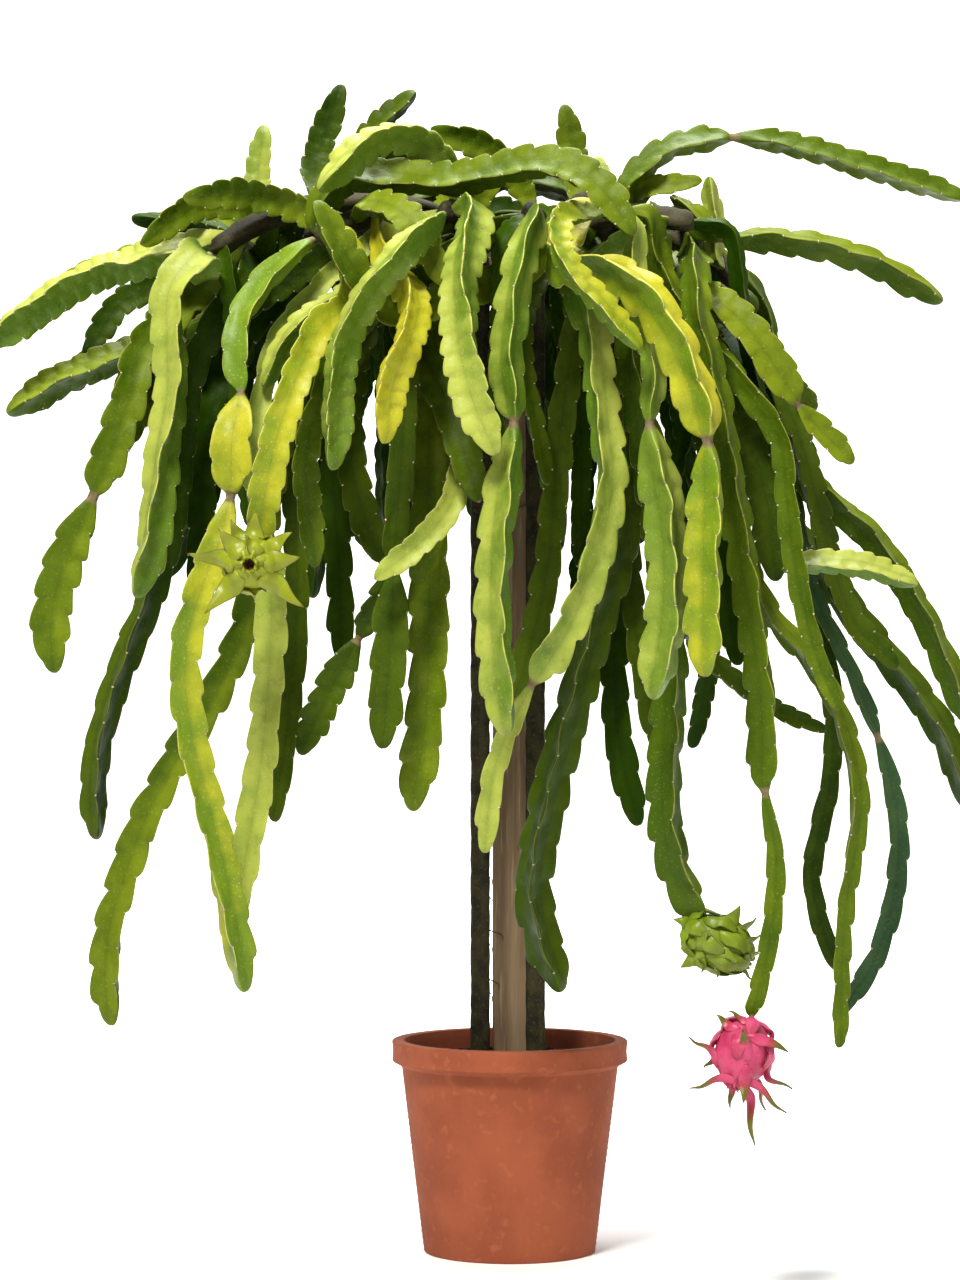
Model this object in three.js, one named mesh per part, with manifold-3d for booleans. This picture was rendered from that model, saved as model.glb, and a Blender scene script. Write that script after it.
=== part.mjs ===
// Potted red dragon fruit cactus. A plain clay pot of soil holds a wooden post with two crossed arms.
// Four climbing plants go up the post, branch into old wood over the arms, and carry the crown of
// long three-winged stems that arch over and hang down, with three fruits at stem tips.
// Millimetres, +Z up, the front faces -Y, and the origin is the middle of the pot's underside.
import * as THREE from "three";
import { mergeVertices } from "three/addons/utils/BufferGeometryUtils.js";
import Module from "manifold-3d";

const wasm = await Module();
wasm.setup();

// Driving sizes in millimetres, turns in degrees, and shares of the size that they belong to.
const seat = 0.3;
const pot = {
  height: 370, footRadius: 150, wallRadius: 190, rimRadius: 206, rimUnder: 326, wall: 12, floor: 14,
  sides: 24, rimEase: 6,
};
const drain = { count: 4, radius: 9, ring: 78, sides: 6 };
const soil = { top: 334, heap: 9, peak: 12, heapRadius: 90 };
const post = { side: 60, foot: 60, top: 1690 };
const arm = { side: 45, length: 580 };
const stemShape = {
  neckRadius: 5.5, neckValley: 0.86, valley: 0.34, notch: 0.12, lobe: 164, smallLobe: 215, farLobe: 230,
  seenWidth: 1.66, shoulder: 95, shoulderShare: 0.4, tip: 75, neck: 50, endShare: 0.35,
  tipShare: 0.34, bluntShare: 0.8, opening: 1.15, cap: 0.5, twist: 25, root: 40, level: 0.9,
};
const wood = { radius: 23, valley: 0.74, lobe: 165, ringShare: 0.94, endShare: 0.8, twist: 40 };
const climb = {
  radius: 22, valley: 0.5, lobe: 300, foot: 230, top: 1745, turn: 30, holeGap: 1, holeSides: 10,
};
const socketGap = 0.8;
const shortestEdge = 0.05;
const budding = {
  spacing: 24, first: 4, clear: 33, smallClear: 18, leans: [-66, 0, 66], stagger: 24, seatOut: 8,
  wayOut: 52, slant: 0.9, reach: 60, facing: 0.9, blocked: 400, skip: 75, looks: [0.3, 0.5, 0.7, 0.9],
};
const farShape = { depthKept: 0.5, tips: [0.8, 0.4] };
const keepClear = { postStep: 40, armStep: 32, climbSteps: 36, branchSteps: 16, square: 0.65 };
const view = { distance: 650, x: -5.2, z: 106.7 };

const colours = {
  clay: 0xa8583a, soil: 0x3b2a1e, wood: 0x8a7355, sun: 0xc4b92f, lime: 0x9caf42, leaf: 0x668a34,
  deep: 0x3c5c22, shade: 0x27401a, blue: 0x3d5e44, red: 0xd8446a, unripe: 0x93b03a,
};

// The hanging stems. Each has its wing-to-wing width, or one width for each length between necks,
// the turn of its first wing from the front in degrees, and its middle line as points in
// centimetres: across, depth and height as they look from the front. A neck is a point where one
// season's growth ends and the next one starts. A stem with on: grows from the side of another stem
// near the height at:, one marked small grows in one piece with the plant that carries it, one with
// from: grows on that plant, and one marked blunt ends wide enough to carry a fruit. A stem's own
// twist: in degrees a metre or shoulder: in millimetres stands in for the one that all share.
const stems = [
  {
    name: "top_1", tone: "leaf", widths: [56], turn: 35,
    points: [[-34, -24, 180.5], [-42, -27, 183.5], [-50, -30, 184.8], [-55.5, -32, 184.3]],
  },
  {
    name: "top_2", tone: "lime", widths: [45], turn: 60, small: true,
    points: [[-44.5, -9, 186], [-43, -10, 195.5]],
  },
  {
    name: "top_3", tone: "shade", widths: [40], turn: 10, small: true,
    points: [[-48, -4, 177], [-56, -6, 180], [-64.5, -8, 180.5]],
  },
  {
    name: "top_4", tone: "leaf", widths: [50], turn: 60,
    points: [[-42, -16, 178], [-52, -20, 180.5], [-58, -23, 178.8], [-63, -25, 175]],
  },
  {
    name: "top_5", tone: "deep", widths: [50], turn: 60, small: true,
    points: [[-35, -9, 185], [-33, -9, 193], [-29.8, -10, 202.5]],
  },
  {
    name: "top_6", tone: "deep", widths: [45], turn: 20, small: true,
    points: [[-30, -2, 187], [-24.5, -2, 196], [-17.5, -3, 201.8]],
  },
  {
    name: "top_7", tone: "lime", widths: [60], turn: 30,
    points: [[-8, -30, 189], [-17, -34, 191], [-26, -36, 188.5], [-31.5, -37, 184.3]],
  },
  {
    name: "top_8", tone: "leaf", widths: [60], turn: 20,
    points: [
      [-33, -28, 181.5], [-15, -33, 184.6], [-4, -36, 187], [6, -38, 186.6], [15, -40, 183],
      [22.5, -41, 177.5],
    ],
  },
  {
    name: "top_9", tone: "leaf", widths: [38], turn: 60, small: true,
    points: [[-6, -29, 183], [-2, -31, 191.3]],
  },
  {
    name: "top_10", tone: "leaf", widths: [52], turn: 40,
    points: [[4, -17, 187.5], [-2, -19, 191.8], [-7, -20, 194.5], [-12.3, -21, 195.8]],
  },
  {
    name: "top_11", tone: "leaf", widths: [50], turn: 60, small: true,
    points: [[12, -10, 187], [9.8, -11, 199]],
  },
  {
    name: "top_12", tone: "leaf", widths: [58], turn: 55, small: true,
    points: [[-21.5, -40, 170], [-24.5, -44, 176], [-29.3, -46, 183]],
  },
  {
    name: "top_13", tone: "leaf", widths: [55], turn: 15,
    points: [[-24, -36, 181.5], [-18, -39, 176.5], [-13, -41, 169.5], [-11, -42, 165]],
  },
  {
    name: "top_14", tone: "leaf", widths: [36], turn: 30, small: true,
    points: [[23, -20, 184.3], [31.5, -22, 184.6]],
  },
  {
    name: "top_15", tone: "leaf", widths: [48, 46], turn: 15, necks: [2],
    points: [
      [21, -21, 187.5], [29.5, -20, 193.2], [38.9, -18, 194.6], [50, -16, 193.2], [62, -13, 189.6],
      [72, -10, 186.4], [78.5, -8, 184.4],
    ],
  },
  {
    name: "top_16", tone: "leaf", widths: [50, 50], turn: 117, necks: [2],
    points: [
      [27, -29, 182], [32, -30, 181], [35.8, -30, 176.8], [45, -28, 176.9], [55, -25, 175.7],
      [65, -22, 172.3], [74.5, -20, 166.8],
    ],
  },
  {
    name: "top_17", tone: "lime", widths: [42], turn: 0,
    points: [[36.5, -22, 173], [35, -22, 186.5]],
  },
  {
    name: "top_18", tone: "lime", widths: [32], turn: 60, small: true,
    points: [[15.5, -15, 190.5]],
  },
  {
    name: "top_19", tone: "deep", widths: [46], turn: 40, small: true,
    points: [[-8, 6, 180.5], [-2, 5, 182.5], [5, 6, 181]],
  },
  {
    name: "left_1", tone: "lime", widths: [62], turn: 0, twist: 80,
    points: [
      [-52, -17, 173.6], [-61, -19, 173], [-71, -20, 171.3], [-80, -21, 167], [-90.5, -22, 159.3],
    ],
  },
  {
    name: "left_2", tone: "lime", widths: [60], turn: 93, twist: 120,
    points: [
      [-47.5, -30, 168], [-53, -34, 174.3], [-58, -37, 171.5], [-59.3, -38, 163], [-58.8, -38, 152],
      [-61, -38, 138], [-62.3, -38, 127], [-65, -38, 116],
    ],
  },
  {
    name: "left_3", tone: "leaf", widths: [58], turn: 108,
    points: [
      [-52, -8, 160], [-62, -11, 158], [-72, -13, 155], [-80, -14, 151.3], [-86.5, -15, 147.3],
    ],
  },
  {
    name: "left_4", tone: "deep", widths: [48], turn: 60, small: true,
    points: [[-56, -2, 170], [-65, -4, 168], [-73.5, -6, 157.3]],
  },
  {
    name: "left_5", tone: "leaf", widths: [62, 68], turn: 50, necks: [4],
    points: [
      [-55, -20, 166], [-62, -24, 160], [-66, -26, 150], [-69.8, -27, 140], [-72.8, -27, 132],
      [-77, -27, 122.5], [-80, -27, 112], [-79.8, -27, 103],
    ],
  },
  {
    name: "left_6", tone: "leaf", widths: [45], turn: 60, small: true,
    points: [[-52, -14, 162], [-60, -18, 155], [-64, -20, 147], [-68.5, -21, 139.5]],
  },
  {
    name: "left_7", tone: "deep", widths: [58], turn: 20, twist: -60, taper: 0.8,
    points: [
      [-52, -22, 168], [-56.5, -24, 156], [-58, -24, 142], [-60, -24, 126], [-63.5, -24, 113],
      [-68, -24, 102], [-71.3, -24, 91], [-72.6, -24, 82], [-72.4, -24, 73.3],
    ],
  },
  {
    name: "left_8", tone: "deep", widths: [45], turn: 40, small: true,
    points: [[-50, -15, 168.3], [-58, -17, 164]],
  },
  {
    name: "left_9", tone: "shade", widths: [52], turn: 60, small: true,
    points: [
      [-49.5, -12, 158], [-52.5, -13, 146], [-54, -13, 134], [-53.5, -13, 124], [-54, -13, 114.5],
    ],
  },
  {
    name: "left_10", tone: "shade", widths: [40], turn: 0, small: true,
    points: [[-45, -4, 158], [-51, -5, 138], [-55, -6, 127.5], [-60, -7, 118.5]],
  },
  {
    name: "left_11", tone: "lime", widths: [46], turn: 5,
    points: [[-26.5, -37, 170], [-33, -40, 167], [-39, -42, 160.5], [-42.5, -43, 152.5]],
  },
  {
    name: "left_12", tone: "sun", widths: [46, 68, 54], turn: 60, twist: -70, necks: [2, 4],
    points: [
      [-44, -40, 168], [-47.5, -44, 160], [-47, -46, 150], [-48.3, -48, 141], [-48.8, -48, 132],
      [-50.5, -49, 125], [-53.5, -50, 117], [-56.3, -50, 109], [-57, -50, 99], [-56, -50, 90],
      [-53.8, -50, 80], [-51, -50, 69], [-48.8, -50, 58], [-46.8, -50, 46.8],
    ],
  },
  {
    name: "left_13", tone: "lime", widths: [36, 54], turn: 60, necks: [3],
    points: [
      [-40, -36, 160], [-43, -40, 151], [-44.3, -41, 141], [-44.4, -41, 129.5], [-42, -41, 119],
      [-41.6, -41, 108], [-42.2, -41, 97], [-43.3, -41, 84], [-45.3, -41, 72], [-47.2, -41, 59.5],
    ],
  },
  {
    name: "left_14", tone: "leaf", widths: [56], turn: 40, twist: 60,
    points: [
      [-38, -28, 150], [-43, -30, 130], [-45.5, -31, 114], [-48.5, -31, 104], [-53.5, -31, 94],
      [-59, -31, 84.5], [-63.5, -31, 75.5], [-67, -31, 65.5], [-69.6, -31, 56], [-70.3, -31, 48],
      [-69.7, -31, 41],
    ],
  },
  {
    name: "left_15", tone: "deep", widths: [42], turn: 60, small: true,
    points: [
      [-35, -26, 150], [-37.3, -27, 136], [-37.2, -27, 122], [-37.2, -27, 110], [-38, -27, 98],
      [-39.2, -27, 88], [-41, -27, 76.3],
    ],
  },
  {
    name: "front_1", tone: "sun", widths: [54], turn: 50, blunt: true,
    points: [
      [-23.5, -44, 167.5], [-31.5, -49, 161.5], [-37.5, -52, 151.5], [-41.3, -53, 141], [-43.3, -53, 131],
      [-44, -52, 125.5],
    ],
  },
  {
    name: "front_2", tone: "leaf", widths: [46], turn: 30,
    points: [
      [-30, -38, 160], [-33.3, -40, 150], [-36, -41, 140], [-35.7, -41, 131], [-34.3, -41, 121],
    ],
  },
  {
    name: "front_3", tone: "lime", widths: [56], turn: 12,
    points: [[-28, -49, 160], [-30.3, -50, 152], [-30.8, -50, 145], [-31, -50, 138.3]],
  },
  {
    name: "front_4", from: "plant_left", tone: "sun", widths: [56], turn: 110, shoulder: 170,
    points: [[-21, -53, 159], [-22, -54, 151], [-22, -54, 143]],
  },
  {
    name: "front_5", tone: "deep", widths: [44, 60], turn: 50, necks: [4],
    points: [
      [-15, -36, 170], [-17.5, -40, 155], [-18.8, -41, 140], [-19.8, -41, 128], [-20.3, -41, 119.7],
      [-20.8, -41, 109], [-21.4, -41, 99], [-22, -41, 89.6],
    ],
  },
  {
    name: "front_6", tone: "deep", widths: [42, 58], turn: 60, necks: [1], on: "front_5", at: 121,
    points: [[-22.5, -40, 114.5], [-26.5, -37, 107], [-31, -36, 98.5], [-35.9, -36, 88.3]],
  },
  {
    name: "front_7", tone: "lime", widths: [44], turn: 30, on: "front_11", at: 147,
    points: [
      [-9.5, -37, 141], [-9, -40, 134.5], [-12, -43, 128.5], [-17, -45, 122.5], [-22.5, -47, 118.3],
    ],
  },
  {
    name: "front_8", tone: "deep", widths: [54], turn: 60, small: true,
    points: [
      [-26, -24, 165], [-29.5, -28, 152], [-29, -30, 140], [-26.5, -31, 131], [-23.2, -32, 122],
    ],
  },
  {
    name: "front_9", tone: "shade", widths: [48], turn: 60, small: true,
    points: [
      [-28, -18, 165], [-31, -22, 148], [-30.6, -24, 132], [-29.6, -25, 118], [-29.2, -25, 104.5],
    ],
  },
  {
    name: "front_10", tone: "deep", widths: [58], turn: 55, small: true,
    points: [
      [-17, -34, 172], [-14, -39, 160], [-11, -42, 151], [-8.3, -43, 141], [-6, -44, 132.3],
    ],
  },
  {
    name: "front_11", tone: "leaf", widths: [66], turn: 60,
    points: [
      [-14.8, -32, 158], [-14.4, -34, 145], [-14, -35, 131], [-13.9, -35, 117], [-14, -35, 104],
      [-14.6, -35, 91], [-16.7, -35, 78.8],
    ],
  },
  {
    name: "front_12", tone: "lime", widths: [66], turn: 0, twist: -150,
    points: [
      [-8.5, -44, 181], [-8.7, -52, 174], [-8, -55, 163], [-6.3, -56, 152], [-2.5, -57, 141],
    ],
  },
  {
    name: "front_13", tone: "lime", widths: [58, 62], turn: 110, twist: -30, necks: [4],
    points: [
      [7, -46, 180.5], [3.3, -52, 174.5], [0.8, -55, 165], [-0.8, -56, 155], [0.3, -56, 145],
      [-0.9, -56, 135], [-2, -56, 125], [-2.4, -56, 114], [-1.9, -56, 103], [-0.6, -56, 92],
    ],
  },
  {
    name: "front_14", tone: "sun", widths: [44], turn: 60,
    points: [[7, -50, 176], [12, -54, 170], [17.5, -56, 163.5], [22, -57, 158.7]],
  },
  {
    name: "front_15", tone: "sun", widths: [74, 66], turn: 110, twist: -40, necks: [5],
    points: [
      [9, -46, 178.5], [16.5, -50, 174.5], [24, -54, 167.5], [29.5, -56, 158.5], [33, -57, 150],
      [34.6, -57, 141.8], [34.9, -56, 132], [34.5, -56, 122], [34.4, -56, 112], [34.3, -56, 102.4],
    ],
  },
  {
    name: "front_16", tone: "lime", widths: [58, 38], turn: 25, twist: 60, necks: [7],
    points: [
      [12, -40, 172], [14.8, -44, 160], [15.5, -46, 149], [17.2, -47, 139], [16.8, -47, 130],
      [14.3, -47, 120.5], [10.8, -47, 110.5], [4, -46, 99.3], [-0.8, -46, 90], [-3.2, -46, 82],
      [-3.8, -46, 76], [-4.2, -46, 70.8],
    ],
  },
  {
    name: "front_17", tone: "deep", widths: [48], turn: 60, small: true,
    points: [
      [11, -26, 162], [9.4, -29, 148], [8.2, -30, 138], [7.3, -31, 125], [5.6, -31, 113],
      [1.5, -31, 98],
    ],
  },
  {
    name: "front_18", tone: "deep", widths: [66], turn: 12, twist: -10,
    points: [
      [24, -26, 162], [22, -28, 145], [20.3, -28, 131], [17.8, -28, 119], [14.6, -28, 109],
      [11.8, -28, 98.5], [9, -28, 88], [6.2, -28, 77], [4.3, -28, 67], [4.6, -28, 58],
      [8.3, -28, 47],
    ],
  },
  {
    name: "front_19", from: "plant_front", tone: "deep", widths: [34], turn: 30, small: true,
    points: [[2, -32, 160], [3.8, -34, 147], [6.3, -36, 135]],
  },
  {
    name: "front_20", tone: "lime", widths: [40, 72], turn: 118, twist: -30, necks: [3],
    points: [
      [21, -48, 168], [24.5, -51, 158], [25.3, -52, 151], [24.5, -52, 144.8], [26.2, -52, 136],
      [27.9, -52, 127], [28.3, -52, 117], [27.6, -52, 108], [25.6, -52, 98.5],
    ],
  },
  {
    name: "front_21", tone: "leaf", widths: [54, 33], turn: 106, twist: -40, necks: [7], blunt: true,
    points: [
      [30, -40, 167], [35, -44, 153], [38.2, -45, 139], [40.5, -46, 125], [42.5, -46, 112.5],
      [44, -46, 102], [44.8, -46, 90], [44.7, -46, 80.3], [46.8, -46, 70], [46.5, -46, 60],
      [45, -46, 50.5], [42.8, -46, 42.5],
    ],
  },
  {
    name: "front_22", tone: "leaf", widths: [62], turn: 114, twist: -20, blunt: true,
    points: [
      [22, -34, 158], [26, -38, 130], [28, -38, 113], [28.3, -38, 98], [27.7, -38, 86],
      [27.8, -38, 75], [29.5, -38, 66], [32.6, -38, 59.6],
    ],
  },
  {
    name: "right_1", tone: "leaf", widths: [52], turn: 98, twist: -80, taper: 0.6,
    points: [
      [28, -36, 173], [34.6, -40, 161.5], [42, -42, 151], [47.2, -42, 143.5], [48.7, -42, 133],
      [49.8, -42, 122], [51.6, -42, 112], [54, -42, 103], [57, -42, 95.5],
    ],
  },
  {
    name: "right_2", tone: "leaf", widths: [62, 44], turn: 25, necks: [3],
    points: [
      [33, -27, 169], [38.5, -33, 163], [44.6, -36, 155.5], [50.3, -36, 147.8], [54.5, -35, 143],
      [59, -35, 138.6],
    ],
  },
  {
    name: "right_3", tone: "deep", widths: [66], turn: 60,
    points: [
      [34, -28, 164], [38.5, -32, 151], [42.5, -33, 140], [45.3, -33, 130], [46.5, -33, 119],
    ],
  },
  {
    name: "right_4", tone: "deep", widths: [46], turn: 30,
    points: [
      [42, -14, 162], [48, -17, 149], [51.2, -18, 139], [53.4, -18, 130], [55.5, -18, 121],
      [58.5, -18, 112], [62.2, -18, 106], [66.6, -18, 102.6],
    ],
  },
  {
    name: "right_5", tone: "leaf", widths: [50], turn: 108,
    points: [
      [43, -8, 156], [47, -10, 141], [53, -11, 133], [59.5, -12, 129], [66, -12, 121.5],
      [71.7, -12, 112.5], [76.2, -12, 103.5], [79.8, -12, 93.5],
    ],
  },
  {
    name: "right_6", tone: "deep", widths: [54], turn: 114,
    points: [
      [40, -4, 152], [47, -5, 132], [53.5, -6, 121], [59.5, -6, 112.5], [66, -6, 104],
      [72.5, -6, 96], [77.2, -6, 87.5], [80, -6, 78.5],
    ],
  },
  {
    name: "right_7", tone: "lime", widths: [46], turn: 10, on: "right_3", at: 121,
    points: [[53, -35, 120.3], [61, -35, 119.8], [70, -35, 117]],
  },
  {
    name: "right_8", tone: "leaf", widths: [50], turn: 10, twist: 50, taper: 0.6,
    points: [
      [36, -26, 152], [40, -30, 126], [44.5, -33, 112.5], [49, -34, 107.5], [54.2, -34, 100.5],
      [58.6, -34, 91], [60.9, -34, 81], [60.2, -34, 71], [58.5, -34, 60], [57.8, -34, 49],
      [57.7, -34, 36.5],
    ],
  },
  {
    name: "right_9", tone: "deep", widths: [34], turn: 45,
    points: [
      [46, -8, 145], [51, -12, 120], [55.5, -14, 103], [56.4, -14, 90], [55.8, -14, 81],
      [53.8, -14, 72], [52.8, -14, 66], [54, -14, 58.5], [57, -14, 50],
    ],
  },
  {
    name: "right_10", tone: "blue", widths: [30, 36], turn: 40, necks: [4],
    points: [
      [44, -14, 148], [53, -17, 115.5], [57.8, -18, 105.5], [61.3, -18, 97.8], [64.4, -18, 90],
      [66.8, -18, 80.5], [68, -18, 71], [66.8, -18, 60.5], [63.8, -18, 51], [58.6, -18, 42.6],
    ],
  },
  {
    name: "right_11", tone: "deep", widths: [44], turn: 25, taper: 0.7, on: "front_22", at: 116,
    points: [[37, -32, 101], [43, -29, 96.8], [49, -27, 93], [54.3, -26, 91.2]],
  },
  {
    name: "right_12", tone: "shade", widths: [36], turn: 60, on: "front_22", at: 124,
    points: [[34.6, -26, 106], [33.5, -22, 96], [32, -20, 89]],
  },
  {
    name: "right_13", from: "plant_front", tone: "shade", widths: [50], turn: 60, small: true,
    points: [
      [19.5, -15, 140], [18.6, -17, 114], [18.4, -17, 100], [19.2, -17, 90], [20.7, -17, 82],
      [22.3, -17, 75.8],
    ],
  },
  {
    name: "right_14", from: "plant_front", tone: "deep", widths: [44], turn: 40, small: true,
    points: [
      [19, -20, 158], [20.5, -22, 120], [22, -22, 107], [24, -22, 97], [25.6, -22, 88.5],
    ],
  },
  {
    name: "right_15", from: "plant_front", tone: "shade", widths: [48], turn: 60, small: true,
    points: [[34, -18, 145], [36.5, -22, 127], [38.5, -23, 113], [39.8, -23, 103.8]],
  },
  {
    name: "right_16", tone: "leaf", widths: [38], turn: 60, on: "right_2", at: 154,
    points: [[52.8, -32, 147.8]],
  },
  {
    name: "right_17", from: "plant_front", tone: "shade", widths: [36], turn: 60, small: true,
    points: [[13, -13, 145], [12.5, -15, 130], [13.5, -15, 117]],
  },
];

// Stems further in and on the far side, each like one of the stems above, at its own depth and cut
// to a share of its length, so that the crown is full all round.
const farStems = [
  { like: "left_2", depth: 30, share: 0.85 },
  { like: "left_5", depth: 24, share: 0.95 },
  { like: "left_12", depth: 40, share: 0.5 },
  { like: "left_3", depth: 8, share: 1 },
  { like: "left_7", depth: 6, share: 0.8 },
  { like: "left_1", depth: 10, share: 1 },
  { like: "front_1", depth: 46, share: 0.95 },
  { like: "front_3", depth: 42, share: 1 },
  { like: "front_5", depth: 48, share: 0.9 },
  { like: "front_8", depth: 34, share: 1 },
  { like: "front_10", depth: 22, share: 1 },
  { like: "front_11", depth: 50, share: 0.9 },
  { like: "front_12", depth: 44, share: 1 },
  { like: "front_13", depth: 52, share: 0.9 },
  { like: "front_15", depth: 46, share: 1 },
  { like: "front_16", depth: 50, share: 0.55 },
  { like: "front_17", depth: 20, share: 1, from: "plant_right" },
  { like: "front_20", depth: 42, share: 0.95 },
  { like: "front_21", depth: 44, share: 0.7 },
  { like: "right_1", depth: 34, share: 0.8 },
  { like: "right_2", depth: 22, share: 0.95 },
  { like: "right_3", depth: 16, share: 1 },
  { like: "right_4", depth: 6, share: 1 },
  { like: "right_5", depth: 14, share: 0.9 },
  { like: "top_1", depth: 14, share: 1 },
  { like: "top_7", depth: 4, share: 1 },
  { like: "top_8", depth: 26, share: 1 },
  { like: "top_8", depth: 11, share: 1 },
  { like: "top_16", depth: 22, share: 0.8 },
];

// The climbing plants: where each stands in the soil, and the old wood that it spreads over the arms.
const plants = [
  {
    name: "plant_front",
    foot: [4.8, -4.8],
    branches: [
      [[4.8, -4.8, 170], [4, -20, 178], [3, -40, 176.5]],
      [[4.8, -4.8, 172], [11, -22, 180], [19, -42, 176.5]],
      [[4.8, -4.8, 171], [16, -17, 178.5], [30, -34, 176]],
      [[4.8, -4.8, 172], [19, -11, 177.5], [31, -16, 174], [39, -21, 166.5]],
    ],
  },
  {
    name: "plant_right",
    foot: [4.8, 4.8],
    branches: [
      [[4.8, 4.8, 170], [8, 5.4, 177], [17, 2, 178.8], [28, -3, 176.8], [36, -7, 168.5]],
      [[4.8, 4.8, 172], [20, 11, 180], [38, 14, 176]],
      [[4.8, 4.8, 171], [12, 18, 178.5], [18, 38, 175.5]],
    ],
  },
  {
    name: "plant_back",
    foot: [-4.8, 4.8],
    branches: [
      [[-4.8, 4.8, 170], [-4, 20, 180], [-2, 40, 176]],
      [[-4.8, 4.8, 172], [-12, 18, 180], [-22, 34, 176.5]],
      [[-4.8, 4.8, 171], [-19, 10, 178.5], [-36, 14, 176]],
    ],
  },
  {
    name: "plant_left",
    foot: [-4.8, -4.8],
    branches: [
      [[-4.8, -4.8, 170], [-18, -6, 178.5], [-33, -7, 178], [-46, -9, 172.5]],
      [[-4.8, -4.8, 172], [-14, -16, 180], [-23, -29, 178], [-32, -38, 173]],
      [[-4.8, -4.8, 171], [-8, -19, 178.5], [-11, -42, 176.5]],
      [[-4.8, -4.8, 173], [-22, -14, 181], [-39, -21, 179], [-50, -27, 172]],
    ],
  },
];

// The fruits, each on the tip of a stem. Millimetres from the stem tip to the fruit's middle, the way
// that its open end points, and its leafy scales, each from its root to its point as seen from the
// fruit's middle.
const fruits = [
  {
    name: "fruit_red", on: "front_21", tone: "red", radius: 45, half: 55, mouth: 10,
    toMiddle: [-20, -25, -70], axis: [-0.25, -0.35, -0.9],
    scales: [
      [[-3, -10, 53], [-23, -5, 66]], [[-22, -10, 40], [-44, -5, 61]], [[-42, -10, -2], [-88, -15, 26]],
      [[-42, 10, -12], [-63, 10, -27]], [[-28, -25, -38], [-88, -30, -55]], [[-18, 0, -47], [-20, 10, -92]],
      [[-3, -20, -50], [17, -35, -147]], [[8, -28, -46], [67, -45, -93]], [[35, -5, -30], [79, -10, -59]],
      [[22, -35, 25], [72, -25, 2]], [[0, -44, 12], [-5, -60, 43]],
      [[0, -34, -32], [-3, -50, -77]], [[-10, 42, 10], [-30, 60, 20]],
      [[0, 38, -30], [0, 70, -60]], [[14, 18, -45], [40, 40, -100]],
    ],
  },
  {
    name: "fruit_green_front", on: "front_1", tone: "unripe", radius: 40, half: 45, mouth: 11,
    toMiddle: [-6, -62, -51], axis: [-0.05, -1, -0.05],
    scales: [
      [[-32, -14, 2], [-101, -28, 16]], [[-22, -24, 20], [-51, -32, 56]], [[-18, -8, 34], [-33, -8, 71]],
      [[2, -14, 36], [7, -18, 84]], [[26, -14, 24], [65, -20, 50]], [[30, -20, 2], [78, -30, 10]],
      [[26, -18, -26], [84, -26, -70]], [[-26, -18, -28], [-74, -26, -80]], [[0, -30, 24], [-8, -52, 44]],
      [[-28, 22, -14], [-50, 40, -30]], [[0, 26, -28], [0, 50, -55]],
    ],
  },
  {
    name: "fruit_green_low", on: "front_22", tone: "unripe", radius: 40, half: 58, mouth: 9,
    toMiddle: [33, -13, -54], axis: [0.86, -0.1, -0.5],
    scales: [
      [[-40, 0, 26], [-72, 0, 38]], [[-36, -14, -2], [-60, -15, -10]], [[-30, -14, -20], [-60, -10, -40]],
      [[20, -14, 30], [38, -12, 63]], [[36, -4, 16], [65, 0, 42]],
      [[40, -16, 2], [70, -20, 15]], [[42, -14, -16], [76, -18, -8]], [[30, -2, -34], [58, 0, -60]],
      [[0, -12, -34], [0, -16, -56]], [[-18, -18, -28], [-25, -24, -47]], [[-20, -32, 8], [-14, -48, 24]],
      [[14, -32, -16], [34, -46, -28]], [[-8, 34, 12], [8, 52, 22]],
    ],
  },
];
const fruitShape = {
  sides: 8, rings: 6, mouthDepth: 9, mouthLip: 7, lip: 3, stalkRadius: 4.5, stalkFlare: 9,
  stalkIn: 6, stalkOut: 15, stalkReach: 0.4, bow: 5, sunk: 0.8,
  rootWidth: 13, rootThick: 5.5, middleWidth: 9, middleThick: 2.5,
};

// Small vector helpers on plain [x, y, z] lists.
const add = (a, b, k = 1) => [a[0] + b[0] * k, a[1] + b[1] * k, a[2] + b[2] * k];
const sub = (a, b) => add(a, b, -1);
const scale = (a, k) => [a[0] * k, a[1] * k, a[2] * k];
const dot = (a, b) => a[0] * b[0] + a[1] * b[1] + a[2] * b[2];
const cross = (a, b) => [a[1] * b[2] - a[2] * b[1], a[2] * b[0] - a[0] * b[2], a[0] * b[1] - a[1] * b[0]];
const size = (a) => Math.sqrt(dot(a, a));
const unit = (a) => scale(a, 1 / size(a));
const limited = (v) => Math.min(1, Math.max(0, v));
const swell = (v) => Math.sin((Math.PI / 2) * limited(v));
const toMillimetres = (a) => scale(a, 10);
const radians = THREE.MathUtils.degToRad;

// A point given as it looks from the front, in centimetres, brought to its true place in millimetres.
function truePlace([x, y, z]) {
  const k = 1 + y / view.distance;
  return toMillimetres([view.x + (x - view.x) * k, y, view.z + (z - view.z) * k]);
}

// A smooth line through points, as a dense list with stepsPerSpan pieces between two points.
const stepsPerSpan = 16;
function smoothLine(points) {
  const corners = points.map((p) => new THREE.Vector3(...p));
  const curve = new THREE.CatmullRomCurve3(corners, false, "centripetal");
  const count = (points.length - 1) * stepsPerSpan;
  return curve.getPoints(count).map((v) => v.toArray());
}

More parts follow.
